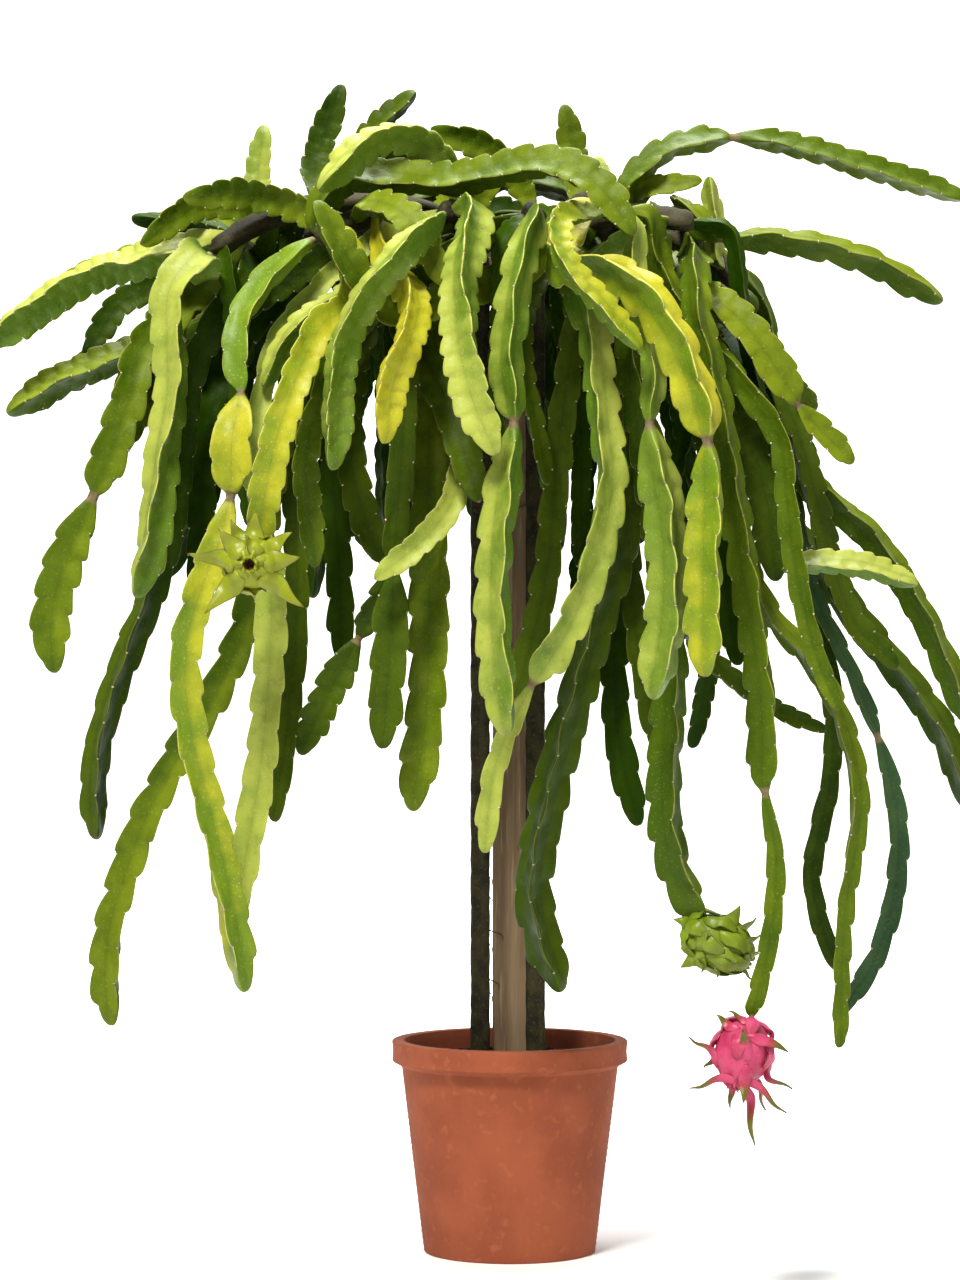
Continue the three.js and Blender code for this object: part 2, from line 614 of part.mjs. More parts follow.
// The length of a dense line, and the points at given distances along it.
const lengthOf = (line) => line.slice(1).reduce((sum, p, i) => sum + size(sub(p, line[i])), 0);
function placesAt(line, distances) {
  const out = [];
  let k = 1;
  let reached = 0;
  let step = size(sub(line[1], line[0]));
  for (const distance of distances) {
    while (k < line.length - 1 && reached + step < distance) {
      reached += step;
      k += 1;
      step = size(sub(line[k], line[k - 1]));
    }
    out.push(add(line[k - 1], sub(line[k], line[k - 1]), (distance - reached) / step));
  }
  return out;
}
function evenly(line, count) {
  const total = lengthOf(line);
  const distances = Array.from({ length: count + 1 }, (_, i) => (total * i) / count);
  return placesAt(line, distances);
}

// The stations of a stem: two to a lobe, with the wing radius at each. A length of growth swells
// from a thin neck, and ends in the next neck or in a rounded tip.
function layOut(stem, control, leadIn) {
  const line = smoothLine(control);
  const necks = (stem.necks ?? []).map((k) => (k + leadIn) * stepsPerSpan);
  const cuts = [0, ...necks, line.length - 1];
  const lobe = stem.share ? stemShape.farLobe : stem.small ? stemShape.smallLobe : stemShape.lobe;
  const taper = stem.taper ?? 1;
  const stations = [];
  let run = 0;
  for (let part = 0; part < stem.widths.length; part += 1) {
    const piece = line.slice(cuts[part], cuts[part + 1] + 1);
    const whole = lengthOf(piece);
    const rooted = part === 0 && !stem.small ? stemShape.root : 0;
    const count = 2 * Math.max(1, Math.round((whole - rooted) / lobe));
    const distances = rooted > 0 ? [0, rooted / 2] : [];
    for (let i = part === 0 ? 0 : 1; i <= count; i += 1) {
      distances.push(rooted + ((whole - rooted) * i) / count);
    }
    const last = part === stem.widths.length - 1;
    const full = stem.widths[part] / stemShape.seenWidth;
    const shoulder = Math.min(stem.shoulder ?? stemShape.shoulder, stemShape.shoulderShare * whole);
    const ending = Math.min(last ? stemShape.tip : stemShape.neck, stemShape.endShare * whole);
    const tipShare = stem.blunt ? stemShape.bluntShare : stemShape.tipShare;
    const endShare = last ? tipShare : 0;
    placesAt(piece, distances).forEach((p, i) => {
      const along = distances[i];
      const end = endShare + (1 - endShare) * swell((whole - along) / ending);
      const grow = swell(along / shoulder) * end;
      const fullHere = full * (1 - (1 - taper) * (along / whole));
      const open = Math.min(1, grow * stemShape.opening);
      const notch = stations.length % 2 === 0 ? 1 - stemShape.notch * open : 1;
      const radius = (stemShape.neckRadius + (fullHere - stemShape.neckRadius) * grow) * notch;
      stations.push({ p, run: run + along, radius, open });
    });
    run += whole;
  }
  return { stem, stations };
}

// Points inside the post, the arms and the old wood that the stems keep clear of.
const climbOf = (plant) => {
  const [x, y] = toMillimetres([...plant.foot, 0]);
  return [[x, y, climb.foot], [x, y, climb.top]];
};
const fixed = [];
const armMiddle = post.top + seat + arm.side / 2;
for (let z = pot.height; z < post.top; z += keepClear.postStep) {
  fixed.push({ p: [0, 0, z], radius: post.side * keepClear.square });
}
for (let reach = -arm.length / 2; reach <= arm.length / 2; reach += keepClear.armStep) {
  fixed.push({ p: [reach, 0, armMiddle], radius: arm.side * keepClear.square });
  fixed.push({ p: [0, reach, armMiddle], radius: arm.side * keepClear.square });
}
for (const plant of plants) {
  for (const p of evenly(climbOf(plant), keepClear.climbSteps)) {
    fixed.push({ p, radius: climb.radius });
  }
  for (const branch of plant.branches) {
    for (const p of evenly(smoothLine(branch.map(toMillimetres)), keepClear.branchSteps)) {
      fixed.push({ p, radius: wood.radius, wood: true });
    }
  }
}

// Buds on the old wood, where hanging stems grow: in pairs along each branch, and one at its end.
function budsOf(plant, branch) {
  const line = smoothLine(branch.map(toMillimetres));
  const points = evenly(line, Math.round(lengthOf(line) / budding.spacing));
  const last = points.length - 1;
  const buds = [];
  for (let i = budding.first; i < last; i += 1) {
    const ahead = unit(sub(points[i + 1], points[i - 1]));
    const side = unit(cross(ahead, [0, 0, 1]));
    const up = cross(side, ahead);
    for (const lean of budding.leans) {
      const angle = radians(lean + (i % 2) * budding.stagger);
      const out = add(scale(side, Math.sin(angle)), up, Math.cos(angle));
      buds.push({ plant, p: points[i], out, free: true });
    }
  }
  buds.push({ plant, p: points[last], out: unit(sub(points[last], points[last - 1])), free: true });
  return buds;
}
const buds = plants.flatMap((plant) => plant.branches.flatMap((branch) => budsOf(plant.name, branch)));

// How much of the way from a bud to a stem's start lies inside the post, an arm or other wood.
function blockedWay(from, start) {
  let blocked = 0;
  for (const part of budding.looks) {
    const p = add(from, sub(start, from), part);
    const inside = fixed.some((spot) => size(sub(spot.p, p)) < spot.radius + stemShape.neckRadius);
    blocked += inside ? 1 : 0;
  }
  return blocked;
}

// The best free bud for where a stem starts. Buds that it crowds are used up with it.
function takeBud(start, clear, from) {
  const far = (bud) => {
    const from = add(bud.p, bud.out, budding.reach);
    const line = sub(start, from);
    const turned = 1 + budding.facing * (1 - dot(unit(line), bud.out));
    return size(line) * turned + budding.blocked * blockedWay(from, start);
  };
  let best = null;
  let least = Infinity;
  for (const bud of buds) {
    const usable = bud.free && (!from || bud.plant === from);
    const cost = usable ? far(bud) : Infinity;
    if (cost < least) {
      best = bud;
      least = cost;
    }
  }
  for (const bud of buds) {
    const apart = size(sub(add(bud.p, bud.out, wood.radius), add(best.p, best.out, wood.radius)));
    bud.free = bud.free && apart > clear;
  }
  return best;
}

// Every stem laid out, first those on old wood and then those that grow from another stem.
const allStems = [...stems];
for (const far of farStems) {
  const near = stems.find((stem) => stem.name === far.like);
  const front = near.points[near.points.length - 1][1];
  const points = near.points.map(([x, y, z]) => [x, far.depth + farShape.depthKept * (front - y), z]);
  const { share, from } = far;
  const name = `far_${far.like}_${far.depth}`;
  allStems.push({ ...near, name, small: true, blunt: false, points, share, from });
}
const laid = new Map();
const onWood = allStems.filter((one) => !one.on);
for (const stem of [...onWood.filter((one) => !one.small), ...onWood.filter((one) => one.small)]) {
  const points = stem.points.map(truePlace);
  const bud = takeBud(points[0], stem.small ? budding.smallClear : budding.clear, stem.from);
  const root = add(bud.p, bud.out, stem.small ? 0 : budding.seatOut);
  const towards = unit(sub(points[0], bud.p));
  const wayOut = add(bud.p, unit(add(bud.out, towards, budding.slant)), budding.wayOut);
  const skipped = points.length > 2 && size(sub(points[0], wayOut)) < budding.skip ? 1 : 0;
  const entry = layOut(stem, [root, wayOut, ...points.slice(skipped)], 2 - skipped);
  entry.plant = bud.plant;
  entry.root = bud.p;
  laid.set(stem.name, entry);
}
for (const stem of stems.filter((one) => one.on)) {
  const host = laid.get(stem.on);
  const height = truePlace([0, stem.points[0][1], stem.at])[2];
  const offLevel = (station) => Math.abs(station.p[2] - height);
  const near = host.stations.reduce((a, b) => (offLevel(b) < offLevel(a) ? b : a));
  const entry = layOut(stem, [near.p, ...stem.points.map(truePlace)], 1);
  entry.host = host;
  entry.hostStation = near;
  laid.set(stem.name, entry);
}
for (const { stem, stations } of laid.values()) {
  if (stem.share < 1) {
    stations.length = 2 * Math.round(((stations.length - 1) / 2) * stem.share) + 1;
    stations.slice(-farShape.tips.length).forEach((station, i) => {
      station.radius *= farShape.tips[i];
    });
  }
}

// The stems press each other and the wood apart until they clear. Near its bud a stem gives way in
// any direction, and further out mostly in depth, so that the front keeps its look.
const settling = {
  rounds: 260, gap: 4, rootStill: 22, rootSoft: 100, anyWay: 220, maxStep: 7, push: 0.25, stillPush: 1.6,
  across: 0.2, depthLead: 14, wingShare: 0.93, woodRun: 62, woodNear: 50, lateralFree: 100,
  listEvery: 10, listReach: 60, smoothing: 3, fruitRoom: 8,
};
function settle() {
  const spots = [];
  for (const entry of laid.values()) {
    const { stations } = entry;
    stations.forEach((station, i) => {
      station.free = limited((station.run - settling.rootStill) / settling.rootSoft);
      const next = stations[Math.min(i + 1, stations.length - 1)];
      for (const ends of [[station, station], [station, next]]) {
        const radius = 0.5 * (ends[0].radius + ends[1].radius);
        const run = 0.5 * (ends[0].run + ends[1].run);
        const reach = settling.wingShare * radius + settling.gap / 2;
        spots.push({ entry, ends, run, off: [0, 0, 0], reach });
      }
    });
    const fruit = fruits.find((one) => one.on === entry.stem.name);
    if (fruit) {
      const last = stations[stations.length - 1];
      const reach = fruit.radius + settling.fruitRoom;
      spots.push({ entry, ends: [last, last], run: last.run, off: fruit.toMiddle, reach });
    }
  }
  const still = fixed.map((spot) => {
    return { still: spot, place: spot.p, reach: spot.radius + settling.gap / 2 };
  });
  const mayTouch = (a, b) => {
    if (b.still) {
      const rooted = b.still.wood && a.entry.root && a.run < settling.woodRun;
      return rooted && size(sub(b.still.p, a.entry.root)) < settling.woodNear;
    }
    if (a.entry === b.entry) {
      return true;
    }
    const lateral = a.entry.host === b.entry ? a : b.entry.host === a.entry ? b : null;
    return lateral !== null && lateral.run < settling.lateralFree;
  };
  let pairs = [];
  for (let round = 0; round < settling.rounds; round += 1) {
    for (const spot of spots) {
      spot.place = add(scale(add(spot.ends[0].p, spot.ends[1].p), 0.5), spot.off);
    }
    if (round % settling.listEvery === 0) {
      const others = [...spots, ...still];
      pairs = [];
      for (let i = 0; i < spots.length; i += 1) {
        for (let j = i + 1; j < others.length; j += 1) {
          const near = spots[i].reach + others[j].reach + settling.listReach;
          const apart = sub(spots[i].place, others[j].place);
          if (Math.abs(apart[0]) < near && size(apart) < near && !mayTouch(spots[i], others[j])) {
            pairs.push([spots[i], others[j]]);
          }
        }
      }
    }
    for (const { stations } of laid.values()) {
      for (const station of stations) {
        station.step = [0, 0, 0];
      }
    }
    for (const [a, b] of pairs) {
      const line = sub(a.place, b.place);
      const short = a.reach + b.reach - size(line);
      if (short <= 0) {
        continue;
      }
      const outer = limited(Math.min(a.run, b.still ? a.run : b.run) / settling.anyWay);
      const across = 1 - (1 - settling.across) * outer;
      const lead = (line[1] < 0 ? -settling.depthLead : settling.depthLead) * outer;
      const way = unit([line[0] * across, line[1] + lead, line[2] * across + 0.01]);
      const push = scale(way, short * settling.push * (b.still ? settling.stillPush : 0.5));
      for (const station of a.ends) {
        station.step = add(station.step, push);
      }
      for (const station of b.still ? [] : b.ends) {
        station.step = sub(station.step, push);
      }
    }
    for (const { stations, hostStation } of laid.values()) {
      const last = stations.length - 1;
      let steps = stations.map((station) => scale(station.step, station.free));
      for (let pass = 0; pass < settling.smoothing; pass += 1) {
        steps = steps.map((step, i) => {
          const both = add(steps[Math.max(0, i - 1)], steps[Math.min(last, i + 1)]);
          return add(scale(step, 0.5), both, 0.25);
        });
      }
      const carried = hostStation ? hostStation.shift : [0, 0, 0];
      stations.forEach((station, i) => {
        const limit = Math.min(1, settling.maxStep / Math.max(size(steps[i]), 1e-9));
        station.shift = add(scale(steps[i], limit * station.free), carried, 1 - station.free);
        station.p = add(station.p, station.shift);
      });
    }
  }
}
settle();

// Which way the first wing points at each station: towards the front turned by the stem's turn, and
// carried along the stem with its twist, so many degrees a metre.
function framesOf(stations, turn, twist) {
  const last = stations.length - 1;
  const ahead = stations.map((station, i) => {
    return unit(sub(stations[Math.min(last, i + 1)].p, stations[Math.max(0, i - 1)].p));
  });
  const middle = Math.floor(last / 2);
  const front = Math.abs(ahead[middle][1]) > stemShape.level ? [0, 0, 1] : [0, -1, 0];
  const level = (v, t) => unit(sub(v, scale(t, dot(v, t))));
  const facing = [];
  facing[middle] = level(front, ahead[middle]);
  for (let i = middle + 1; i <= last; i += 1) {
    facing[i] = level(facing[i - 1], ahead[i]);
  }
  for (let i = middle - 1; i >= 0; i -= 1) {
    facing[i] = level(facing[i + 1], ahead[i]);
  }
  return stations.map((station, i) => {
    const angle = radians(turn + (twist * (station.run - stations[middle].run)) / 1000);
    return { ahead: ahead[i], facing: facing[i], side: cross(ahead[i], facing[i]), angle };
  });
}

// A closed solid from vertices and triangles whose faces point out.
function solidOf(vertices, triangles) {
  const mesh = new wasm.Mesh({
    numProp: 3,
    vertProperties: new Float32Array(vertices.flat()),
    triVerts: new Uint32Array(triangles.flat()),
  });
  return new wasm.Manifold(mesh);
}

// The three-winged body along some stations. Whole rings of wing tips and valleys stand at the
// notches, and between them only the three wing tips swell out into a lobe.
function winged(stations, frames, valley, grow = 0) {
  const vertices = [];
  const triangles = [];
  const last = stations.length - 1;
  const rings = stations.map((station, i) => {
    const { facing, side, angle } = frames[i];
    const low = station.radius * (stemShape.neckValley + (valley - stemShape.neckValley) * station.open);
    const ring = [];
    for (let k = 0; k < 6; k += i % 2 === 0 ? 1 : 2) {
      const radius = (k % 2 === 0 ? station.radius : low) + grow;
      const turn = angle + (Math.PI * k) / 3;
      ring.push(vertices.length);
      vertices.push(add(add(station.p, facing, radius * Math.cos(turn)), side, radius * Math.sin(turn)));
    }
    return ring;
  });
  for (let i = 0; i < last; i += 2) {
    const [from, lobe, to] = [rings[i], rings[i + 1], rings[i + 2]];
    for (let k = 0; k < 3; k += 1) {
      const next = (k + 1) % 3;
      const [tip0, low0, far0] = [from[2 * k], from[2 * k + 1], from[2 * next]];
      const [tip1, low1, far1] = [to[2 * k], to[2 * k + 1], to[2 * next]];
      triangles.push([tip0, low0, lobe[k]], [lobe[k], low0, low1], [lobe[k], low1, tip1]);
      triangles.push([low0, far0, lobe[next]], [low0, lobe[next], low1], [low1, lobe[next], far1]);
    }
  }
  const foot = vertices.length;
  vertices.push(add(stations[0].p, frames[0].ahead, -grow));
  vertices.push(add(stations[last].p, frames[last].ahead, stations[last].radius * stemShape.cap + grow));
  for (let k = 0; k < 6; k += 1) {
    const next = (k + 1) % 6;
    triangles.push([foot, rings[0][next], rings[0][k]], [foot + 1, rings[last][k], rings[last][next]]);
  }
  return solidOf(vertices, triangles);
}

// A solid's triangles as a named mesh with its own material, without edges too short to matter.
const group = new THREE.Group();
function addNode(name, solid, colour, roughness) {
  const { vertProperties, triVerts } = solid.simplify(shortestEdge).getMesh();
  const geometry = new THREE.BufferGeometry();
  geometry.setAttribute("position", new THREE.BufferAttribute(vertProperties, 3));
  geometry.setIndex(new THREE.BufferAttribute(triVerts, 1));
  geometry.computeVertexNormals();
  const material = new THREE.MeshStandardMaterial({ color: colour, roughness, metalness: 0 });
  const mesh = new THREE.Mesh(geometry, material);
  mesh.name = name;
  group.add(mesh);
}

// A three.js geometry as a solid, with its seams merged and its faces pointing out.
function solidFrom(geometry) {
  const bare = geometry.index ? geometry.toNonIndexed() : geometry.clone();
  bare.deleteAttribute("normal");
  bare.deleteAttribute("uv");
  const merged = mergeVertices(bare, 1e-4);
  const { array } = merged.attributes.position;
  const vertices = [];
  for (let i = 0; i < array.length; i += 3) {
    vertices.push([array[i], array[i + 1], array[i + 2]]);
  }
  const triangles = [];
  let volume = 0;
  for (let i = 0; i < merged.index.array.length; i += 3) {
    const [a, b, c] = merged.index.array.slice(i, i + 3);
    if (a !== b && b !== c && c !== a) {
      triangles.push([a, b, c]);
      volume += dot(vertices[a], cross(vertices[b], vertices[c]));
    }
  }
  return solidOf(vertices, volume < 0 ? triangles.map(([a, b, c]) => [a, c, b]) : triangles);
}
const turned = (profile, sides) => {
  return new THREE.LatheGeometry(profile.map(([r, z]) => new THREE.Vector2(r, z)), sides);
};
const upright = (profile) => solidFrom(turned(profile, pot.sides).rotateX(Math.PI / 2));
const box = (wide, deep, high, at) => solidFrom(new THREE.BoxGeometry(wide, deep, high).translate(...at));
const rod = (radius, high, at, sides) => {
  const geometry = new THREE.CylinderGeometry(radius, radius, high, sides);
  return solidFrom(geometry.rotateX(Math.PI / 2).translate(...at));
};

// The pot: a tapered wall with a heavy rim and drain holes round the middle of its floor.
const wallAt = (z) => pot.footRadius + ((pot.wallRadius - pot.footRadius) * z) / pot.rimUnder;
const insideAt = (z) => wallAt(z) - pot.wall;
let potSolid = upright([
  [0, 0],
  [pot.footRadius, 0],
  [pot.wallRadius, pot.rimUnder],
  [pot.rimRadius, pot.rimUnder + pot.rimEase],
  [pot.rimRadius, pot.height - pot.rimEase],
  [pot.rimRadius - pot.rimEase, pot.height],
  [insideAt(pot.height), pot.height],
  [insideAt(pot.floor), pot.floor],
  [0, pot.floor],
]);
for (let k = 0; k < drain.count; k += 1) {
  const angle = (2 * Math.PI * (k + 0.5)) / drain.count;
  const at = [drain.ring * Math.cos(angle), drain.ring * Math.sin(angle), pot.floor / 2];
  potSolid = potSolid.subtract(rod(drain.radius, 2 * pot.floor, at, drain.sides));
}
addNode("pot", potSolid, colours.clay, 0.85);

// The soil fills the pot, with a hole for the post and a round hole for each climbing plant.
let soilSolid = upright([
  [0, pot.floor + seat],
  [insideAt(pot.floor) - seat, pot.floor + seat],
  [insideAt(soil.top) - seat, soil.top],
  [soil.heapRadius, soil.top + soil.heap],
  [0, soil.top + soil.peak],
]);
const postHole = post.side + 2 * seat;
const deepEnough = pot.height;
const postHoleMiddle = post.foot - seat + deepEnough / 2;
soilSolid = soilSolid.subtract(box(postHole, postHole, deepEnough, [0, 0, postHoleMiddle]));
for (const plant of plants) {
  const [x, y] = toMillimetres([...plant.foot, 0]);
  const at = [x, y, climb.foot - climb.holeGap + deepEnough / 2];
  const hole = rod(climb.radius + climb.holeGap, deepEnough, at, climb.holeSides);
  soilSolid = soilSolid.subtract(hole);
}
addNode("soil", soilSolid, colours.soil, 1);

// The post stands in the soil, and the arms lie across its top, halved into each other.
const halfNotch = arm.side + 2 * seat;
const armAcross = box(arm.length, arm.side, arm.side, [0, 0, armMiddle]);
const armDeep = box(arm.side, arm.length, arm.side, [0, 0, armMiddle]);
const upperNotch = box(halfNotch, halfNotch, arm.side, [0, 0, armMiddle + arm.side / 2]);
const lowerNotch = box(halfNotch, halfNotch, halfNotch, [0, 0, armMiddle - arm.side / 2]);
const postMiddle = (post.top + post.foot) / 2;
const postSolid = box(post.side, post.side, post.top - post.foot, [0, 0, postMiddle]);
addNode("post", postSolid, colours.wood, 0.9);
addNode("arm_across", armAcross.subtract(upperNotch), colours.wood, 0.9);
addNode("arm_deep", armDeep.subtract(lowerNotch), colours.wood, 0.9);

// The climbing plants, each with its old wood and the stems that are one with it.
function woodOf(line, radius, lobe, valley, turn, twist) {
  const total = lengthOf(line);
  const count = 2 * Math.max(1, Math.round(total / lobe));
  const stations = evenly(line, count).map((p, i) => {
    const ring = i % 2 === 0 ? wood.ringShare : 1;
    const share = i === 0 || i === count ? wood.endShare : ring;
    return { p, radius: radius * share, open: 1, run: (total * i) / count };
  });
  return winged(stations, framesOf(stations, turn, twist), valley);
}
const solids = new Map();
for (const plant of plants) {
  let body = woodOf(climbOf(plant), climb.radius, climb.lobe, climb.valley, climb.turn, 0);
  for (const branch of plant.branches) {
    const line = smoothLine(branch.map(toMillimetres));
    body = body.add(woodOf(line, wood.radius, wood.lobe, wood.valley, 0, wood.twist));
  }
  solids.set(plant.name, body);
}
for (const [name, entry] of laid) {
  entry.frames = framesOf(entry.stations, entry.stem.turn, entry.stem.twist ?? stemShape.twist);
  entry.solid = winged(entry.stations, entry.frames, stemShape.valley);
  entry.node = entry.stem.small ? entry.plant : entry.host ? entry.stem.on : name;
  const before = solids.get(entry.node);
  solids.set(entry.node, before ? before.add(entry.solid) : entry.solid);
}

// Each stem sits in a socket of its own shape in the old wood, and where two stems still press on
// each other one is dented a little, so that separate parts stay clear of each other.
for (const entry of laid.values()) {
  for (const name of solids.keys()) {
    const shared = solids.get(name).intersect(entry.solid);
    const pressed = name !== entry.node && shared.intersect(solids.get(entry.node)).volume() > 0;
    if (pressed) {
      const room = winged(entry.stations, entry.frames, stemShape.valley, socketGap);
      solids.set(name, solids.get(name).subtract(room));
    }
  }
}

// The fruits: a rounded body with a small mouth at its open end, leafy scales, and a stalk that sits
// in a socket in the stem's tip.
function scaleSolid(root, point, rounding) {
  const way = unit(sub(point, root));
  const out = unit(sub(root, scale(way, dot(root, way))));
  const side = cross(out, way);
  const middle = add(scale(add(root, point), 0.5), out, rounding);
  const vertices = [];
  const sections = [
    [scale(root, fruitShape.sunk), fruitShape.rootWidth, fruitShape.rootThick],
    [middle, fruitShape.middleWidth, fruitShape.middleThick],
  ];
  for (const [at, wide, thick] of sections) {
    vertices.push(add(at, side, wide), add(at, out, thick), add(at, side, -wide));
  }
  vertices.push(point);
  const triangles = [[0, 2, 1]];
  for (let k = 0; k < 3; k += 1) {
    const next = (k + 1) % 3;
    triangles.push([k, next, next + 3], [k, next + 3, k + 3], [k + 3, next + 3, 6]);
  }
  return solidOf(vertices, triangles);
}
for (const fruit of fruits) {
  const entry = laid.get(fruit.on);
  const last = entry.stations[entry.stations.length - 1];
  const { ahead } = entry.frames[entry.frames.length - 1];
  const middle = add(last.p, fruit.toMiddle);
  const profile = [[0, -fruit.half]];
  for (let k = 1; k < fruitShape.rings; k += 1) {
    const angle = (Math.PI * k) / fruitShape.rings;
    profile.push([fruit.radius * Math.sin(angle), -fruit.half * Math.cos(angle)]);
  }
  const lipTop = fruit.half + fruitShape.mouthLip;
  profile.push([fruit.mouth + fruitShape.lip, fruit.half], [fruit.mouth, lipTop]);
  profile.push([fruit.mouth - fruitShape.lip, lipTop], [0, fruit.half - fruitShape.mouthDepth]);
  const along = new THREE.Vector3(...unit(fruit.axis));
  const lean = new THREE.Quaternion().setFromUnitVectors(new THREE.Vector3(0, 1, 0), along);
  let body = solidFrom(turned(profile, fruitShape.sides).applyQuaternion(lean).translate(...middle));
  for (const [root, point] of fruit.scales) {
    body = body.add(scaleSolid(root, point, fruitShape.bow).translate(middle));
  }
  const stalkEnd = add(middle, unit(fruit.axis), -fruitShape.stalkReach * fruit.half);
  const stalkOut = add(last.p, ahead, fruitShape.stalkOut);
  const stalkHalf = (fruitShape.stalkOut - fruitShape.stalkIn) / 2;
  const stalk = [
    { p: add(last.p, ahead, -fruitShape.stalkIn), radius: fruitShape.stalkRadius },
    { p: add(last.p, ahead, stalkHalf), radius: fruitShape.stalkRadius },
    { p: stalkOut, radius: fruitShape.stalkRadius },
    { p: scale(add(stalkOut, stalkEnd), 0.5), radius: fruitShape.stalkFlare },
    { p: stalkEnd, radius: fruitShape.stalkFlare },
  ].map((station, i) => ({ ...station, open: 0, run: i }));
  const stalkFrames = framesOf(stalk, 0, 0);
  body = body.add(winged(stalk, stalkFrames, stemShape.valley));
  const socket = winged(stalk, stalkFrames, stemShape.valley, socketGap);
  solids.set(fruit.on, solids.get(fruit.on).subtract(socket));
  addNode(fruit.name, body, colours[fruit.tone], 0.5);
}

for (const [name, solid] of solids) {
  const entry = laid.get(name);
  const whole = solid.decompose().reduce((a, b) => (b.volume() > a.volume() ? b : a));
  addNode(name, whole, entry ? colours[entry.stem.tone] : colours.deep, entry ? 0.55 : 0.7);
}

export default group;
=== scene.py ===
import math

import bmesh
import bpy
import numpy as np
from mathutils import Matrix, Vector


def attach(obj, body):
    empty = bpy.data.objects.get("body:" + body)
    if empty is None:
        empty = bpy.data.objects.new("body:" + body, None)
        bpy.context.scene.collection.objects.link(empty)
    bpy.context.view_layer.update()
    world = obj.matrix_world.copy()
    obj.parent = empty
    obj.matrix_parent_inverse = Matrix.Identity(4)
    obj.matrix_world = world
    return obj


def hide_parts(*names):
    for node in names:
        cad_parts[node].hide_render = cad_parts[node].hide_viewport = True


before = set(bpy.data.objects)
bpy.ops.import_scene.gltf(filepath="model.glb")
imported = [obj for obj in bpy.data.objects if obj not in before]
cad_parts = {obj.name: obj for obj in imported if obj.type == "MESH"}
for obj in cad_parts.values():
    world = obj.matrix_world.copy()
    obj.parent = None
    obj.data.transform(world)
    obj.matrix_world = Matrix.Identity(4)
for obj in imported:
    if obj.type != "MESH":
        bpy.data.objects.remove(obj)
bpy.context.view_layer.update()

# A potted dragon fruit cactus. The crown's lines are given as they look from the front, the stems are
# pressed apart as they are in the solids, and each gets fine wings, areoles, spines and a waxy skin.
# Lines and sizes are in millimetres, or centimetres where a line says so, and become metres in a mesh.

draw = np.random.default_rng(7)
anyTurn = (0, 6.3)  # radians, for the start of a wave or a place around a circle
print("frame loaded:", len(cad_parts), "solids")


def unit(v):
    return v / np.maximum(np.linalg.norm(v, axis=-1, keepdims=True), 1e-9)


def limited(v):
    return np.clip(v, 0, 1)


def swell(v):
    return np.sin(np.pi / 2 * limited(v))


def smoothLine(points, steps):  # a smooth line through the points, with so many steps from one to the next
    p = np.asarray(points, float)
    p = np.vstack([2 * p[0] - p[1], p, 2 * p[-1] - p[-2]])
    t = np.arange(steps)[:, None] / steps
    out = []
    for a, b, c, d in zip(p, p[1:], p[2:], p[3:]):
        before, here, after = (max(np.linalg.norm(v) ** 0.5, 1e-4) for v in (b - a, c - b, d - c))
        leave = ((b - a) / before - (c - a) / (before + here) + (c - b) / here) * here
        reach = ((c - b) / here - (d - b) / (here + after) + (d - c) / after) * here
        bend = (3 * (c - b) - 2 * leave - reach) * t**2 + (2 * (b - c) + leave + reach) * t**3
        out.append(b + leave * t + bend)
    return np.vstack([*out, p[-2:-1]])


def runOf(line):  # how far along the line each of its points is
    return np.concatenate([[0], np.cumsum(np.linalg.norm(np.diff(line, axis=0), axis=1))])


def placesAt(line, distances):
    run = runOf(line)
    return np.stack([np.interp(distances, run, line[:, k]) for k in range(3)], axis=1)


def evenly(line, count):
    return placesAt(line, np.linspace(0, runOf(line)[-1], count + 1))


def nearest(v):
    return int(v + 0.5)


pot = {"height": 370, "footRadius": 150, "wallRadius": 190, "rimRadius": 206, "rimUnder": 326, "wall": 12,
       "floor": 14, "rimEase": 6, "drains": 4, "drainRadius": 9, "drainRing": 78}
post = {"side": 60, "foot": 60, "top": 1690, "seat": 0.3}
arm = {"side": 45, "length": 580}
view = {"distance": 650, "x": -5.2, "z": 106.7}  # centimetres
wood = {"radius": 23, "valley": 0.74, "twist": 40}
climb = {"radius": 22, "valley": 0.5, "foot": 230, "top": 1745, "turn": 30}
stemShape = {
    "neckRadius": 5.5, "neckValley": 0.86, "valley": 0.34, "notch": 0.12, "lobe": 164, "smallLobe": 215,
    "farLobe": 230, "seenWidth": 1.66, "shoulder": 95, "shoulderShare": 0.4, "tip": 75, "neck": 50,
    "endShare": 0.35, "tipShare": 0.34, "bluntShare": 0.8, "opening": 1.15, "twist": 25, "root": 40,
    "level": 0.9, "steps": 16, "farDepth": 0.5, "farTips": (0.8, 0.4),
}
budding = {
    "spacing": 24, "first": 4, "clear": 33, "smallClear": 18, "leans": (-66, 0, 66), "stagger": 24,
    "seatOut": 8, "wayOut": 52, "slant": 0.9, "reach": 60, "facing": 0.9, "blocked": 400, "skip": 75,
    "looks": (0.3, 0.5, 0.7, 0.9),
}
keepClear = {"postStep": 40, "armStep": 32, "climbSteps": 36, "branchSteps": 16, "square": 0.65}
settling = {
    "rounds": 260, "gap": 4, "rootStill": 22, "rootSoft": 100, "anyWay": 220, "maxStep": 7, "push": 0.25,
    "stillPush": 1.6, "across": 0.2, "depthLead": 14, "wingShare": 0.93, "woodRun": 62, "woodNear": 50,
    "lateralFree": 100, "listEvery": 10, "listReach": 60, "smoothing": 3, "fruitRoom": 8,
}

# Each stem has a tone, its wing-to-wing width, or one for each length between necks, the turn of its first
# wing from the front, its line in centimetres, across, depth and height as seen from the front, and any
# values of its own. A small one is part of its plant, and a side growth hangs on a stem, at a height.
def newStem(name, tone, widths, turn, points, **own):
    return {"name": name, "tone": tone, "widths": widths, "turn": turn, "points": points, **own}


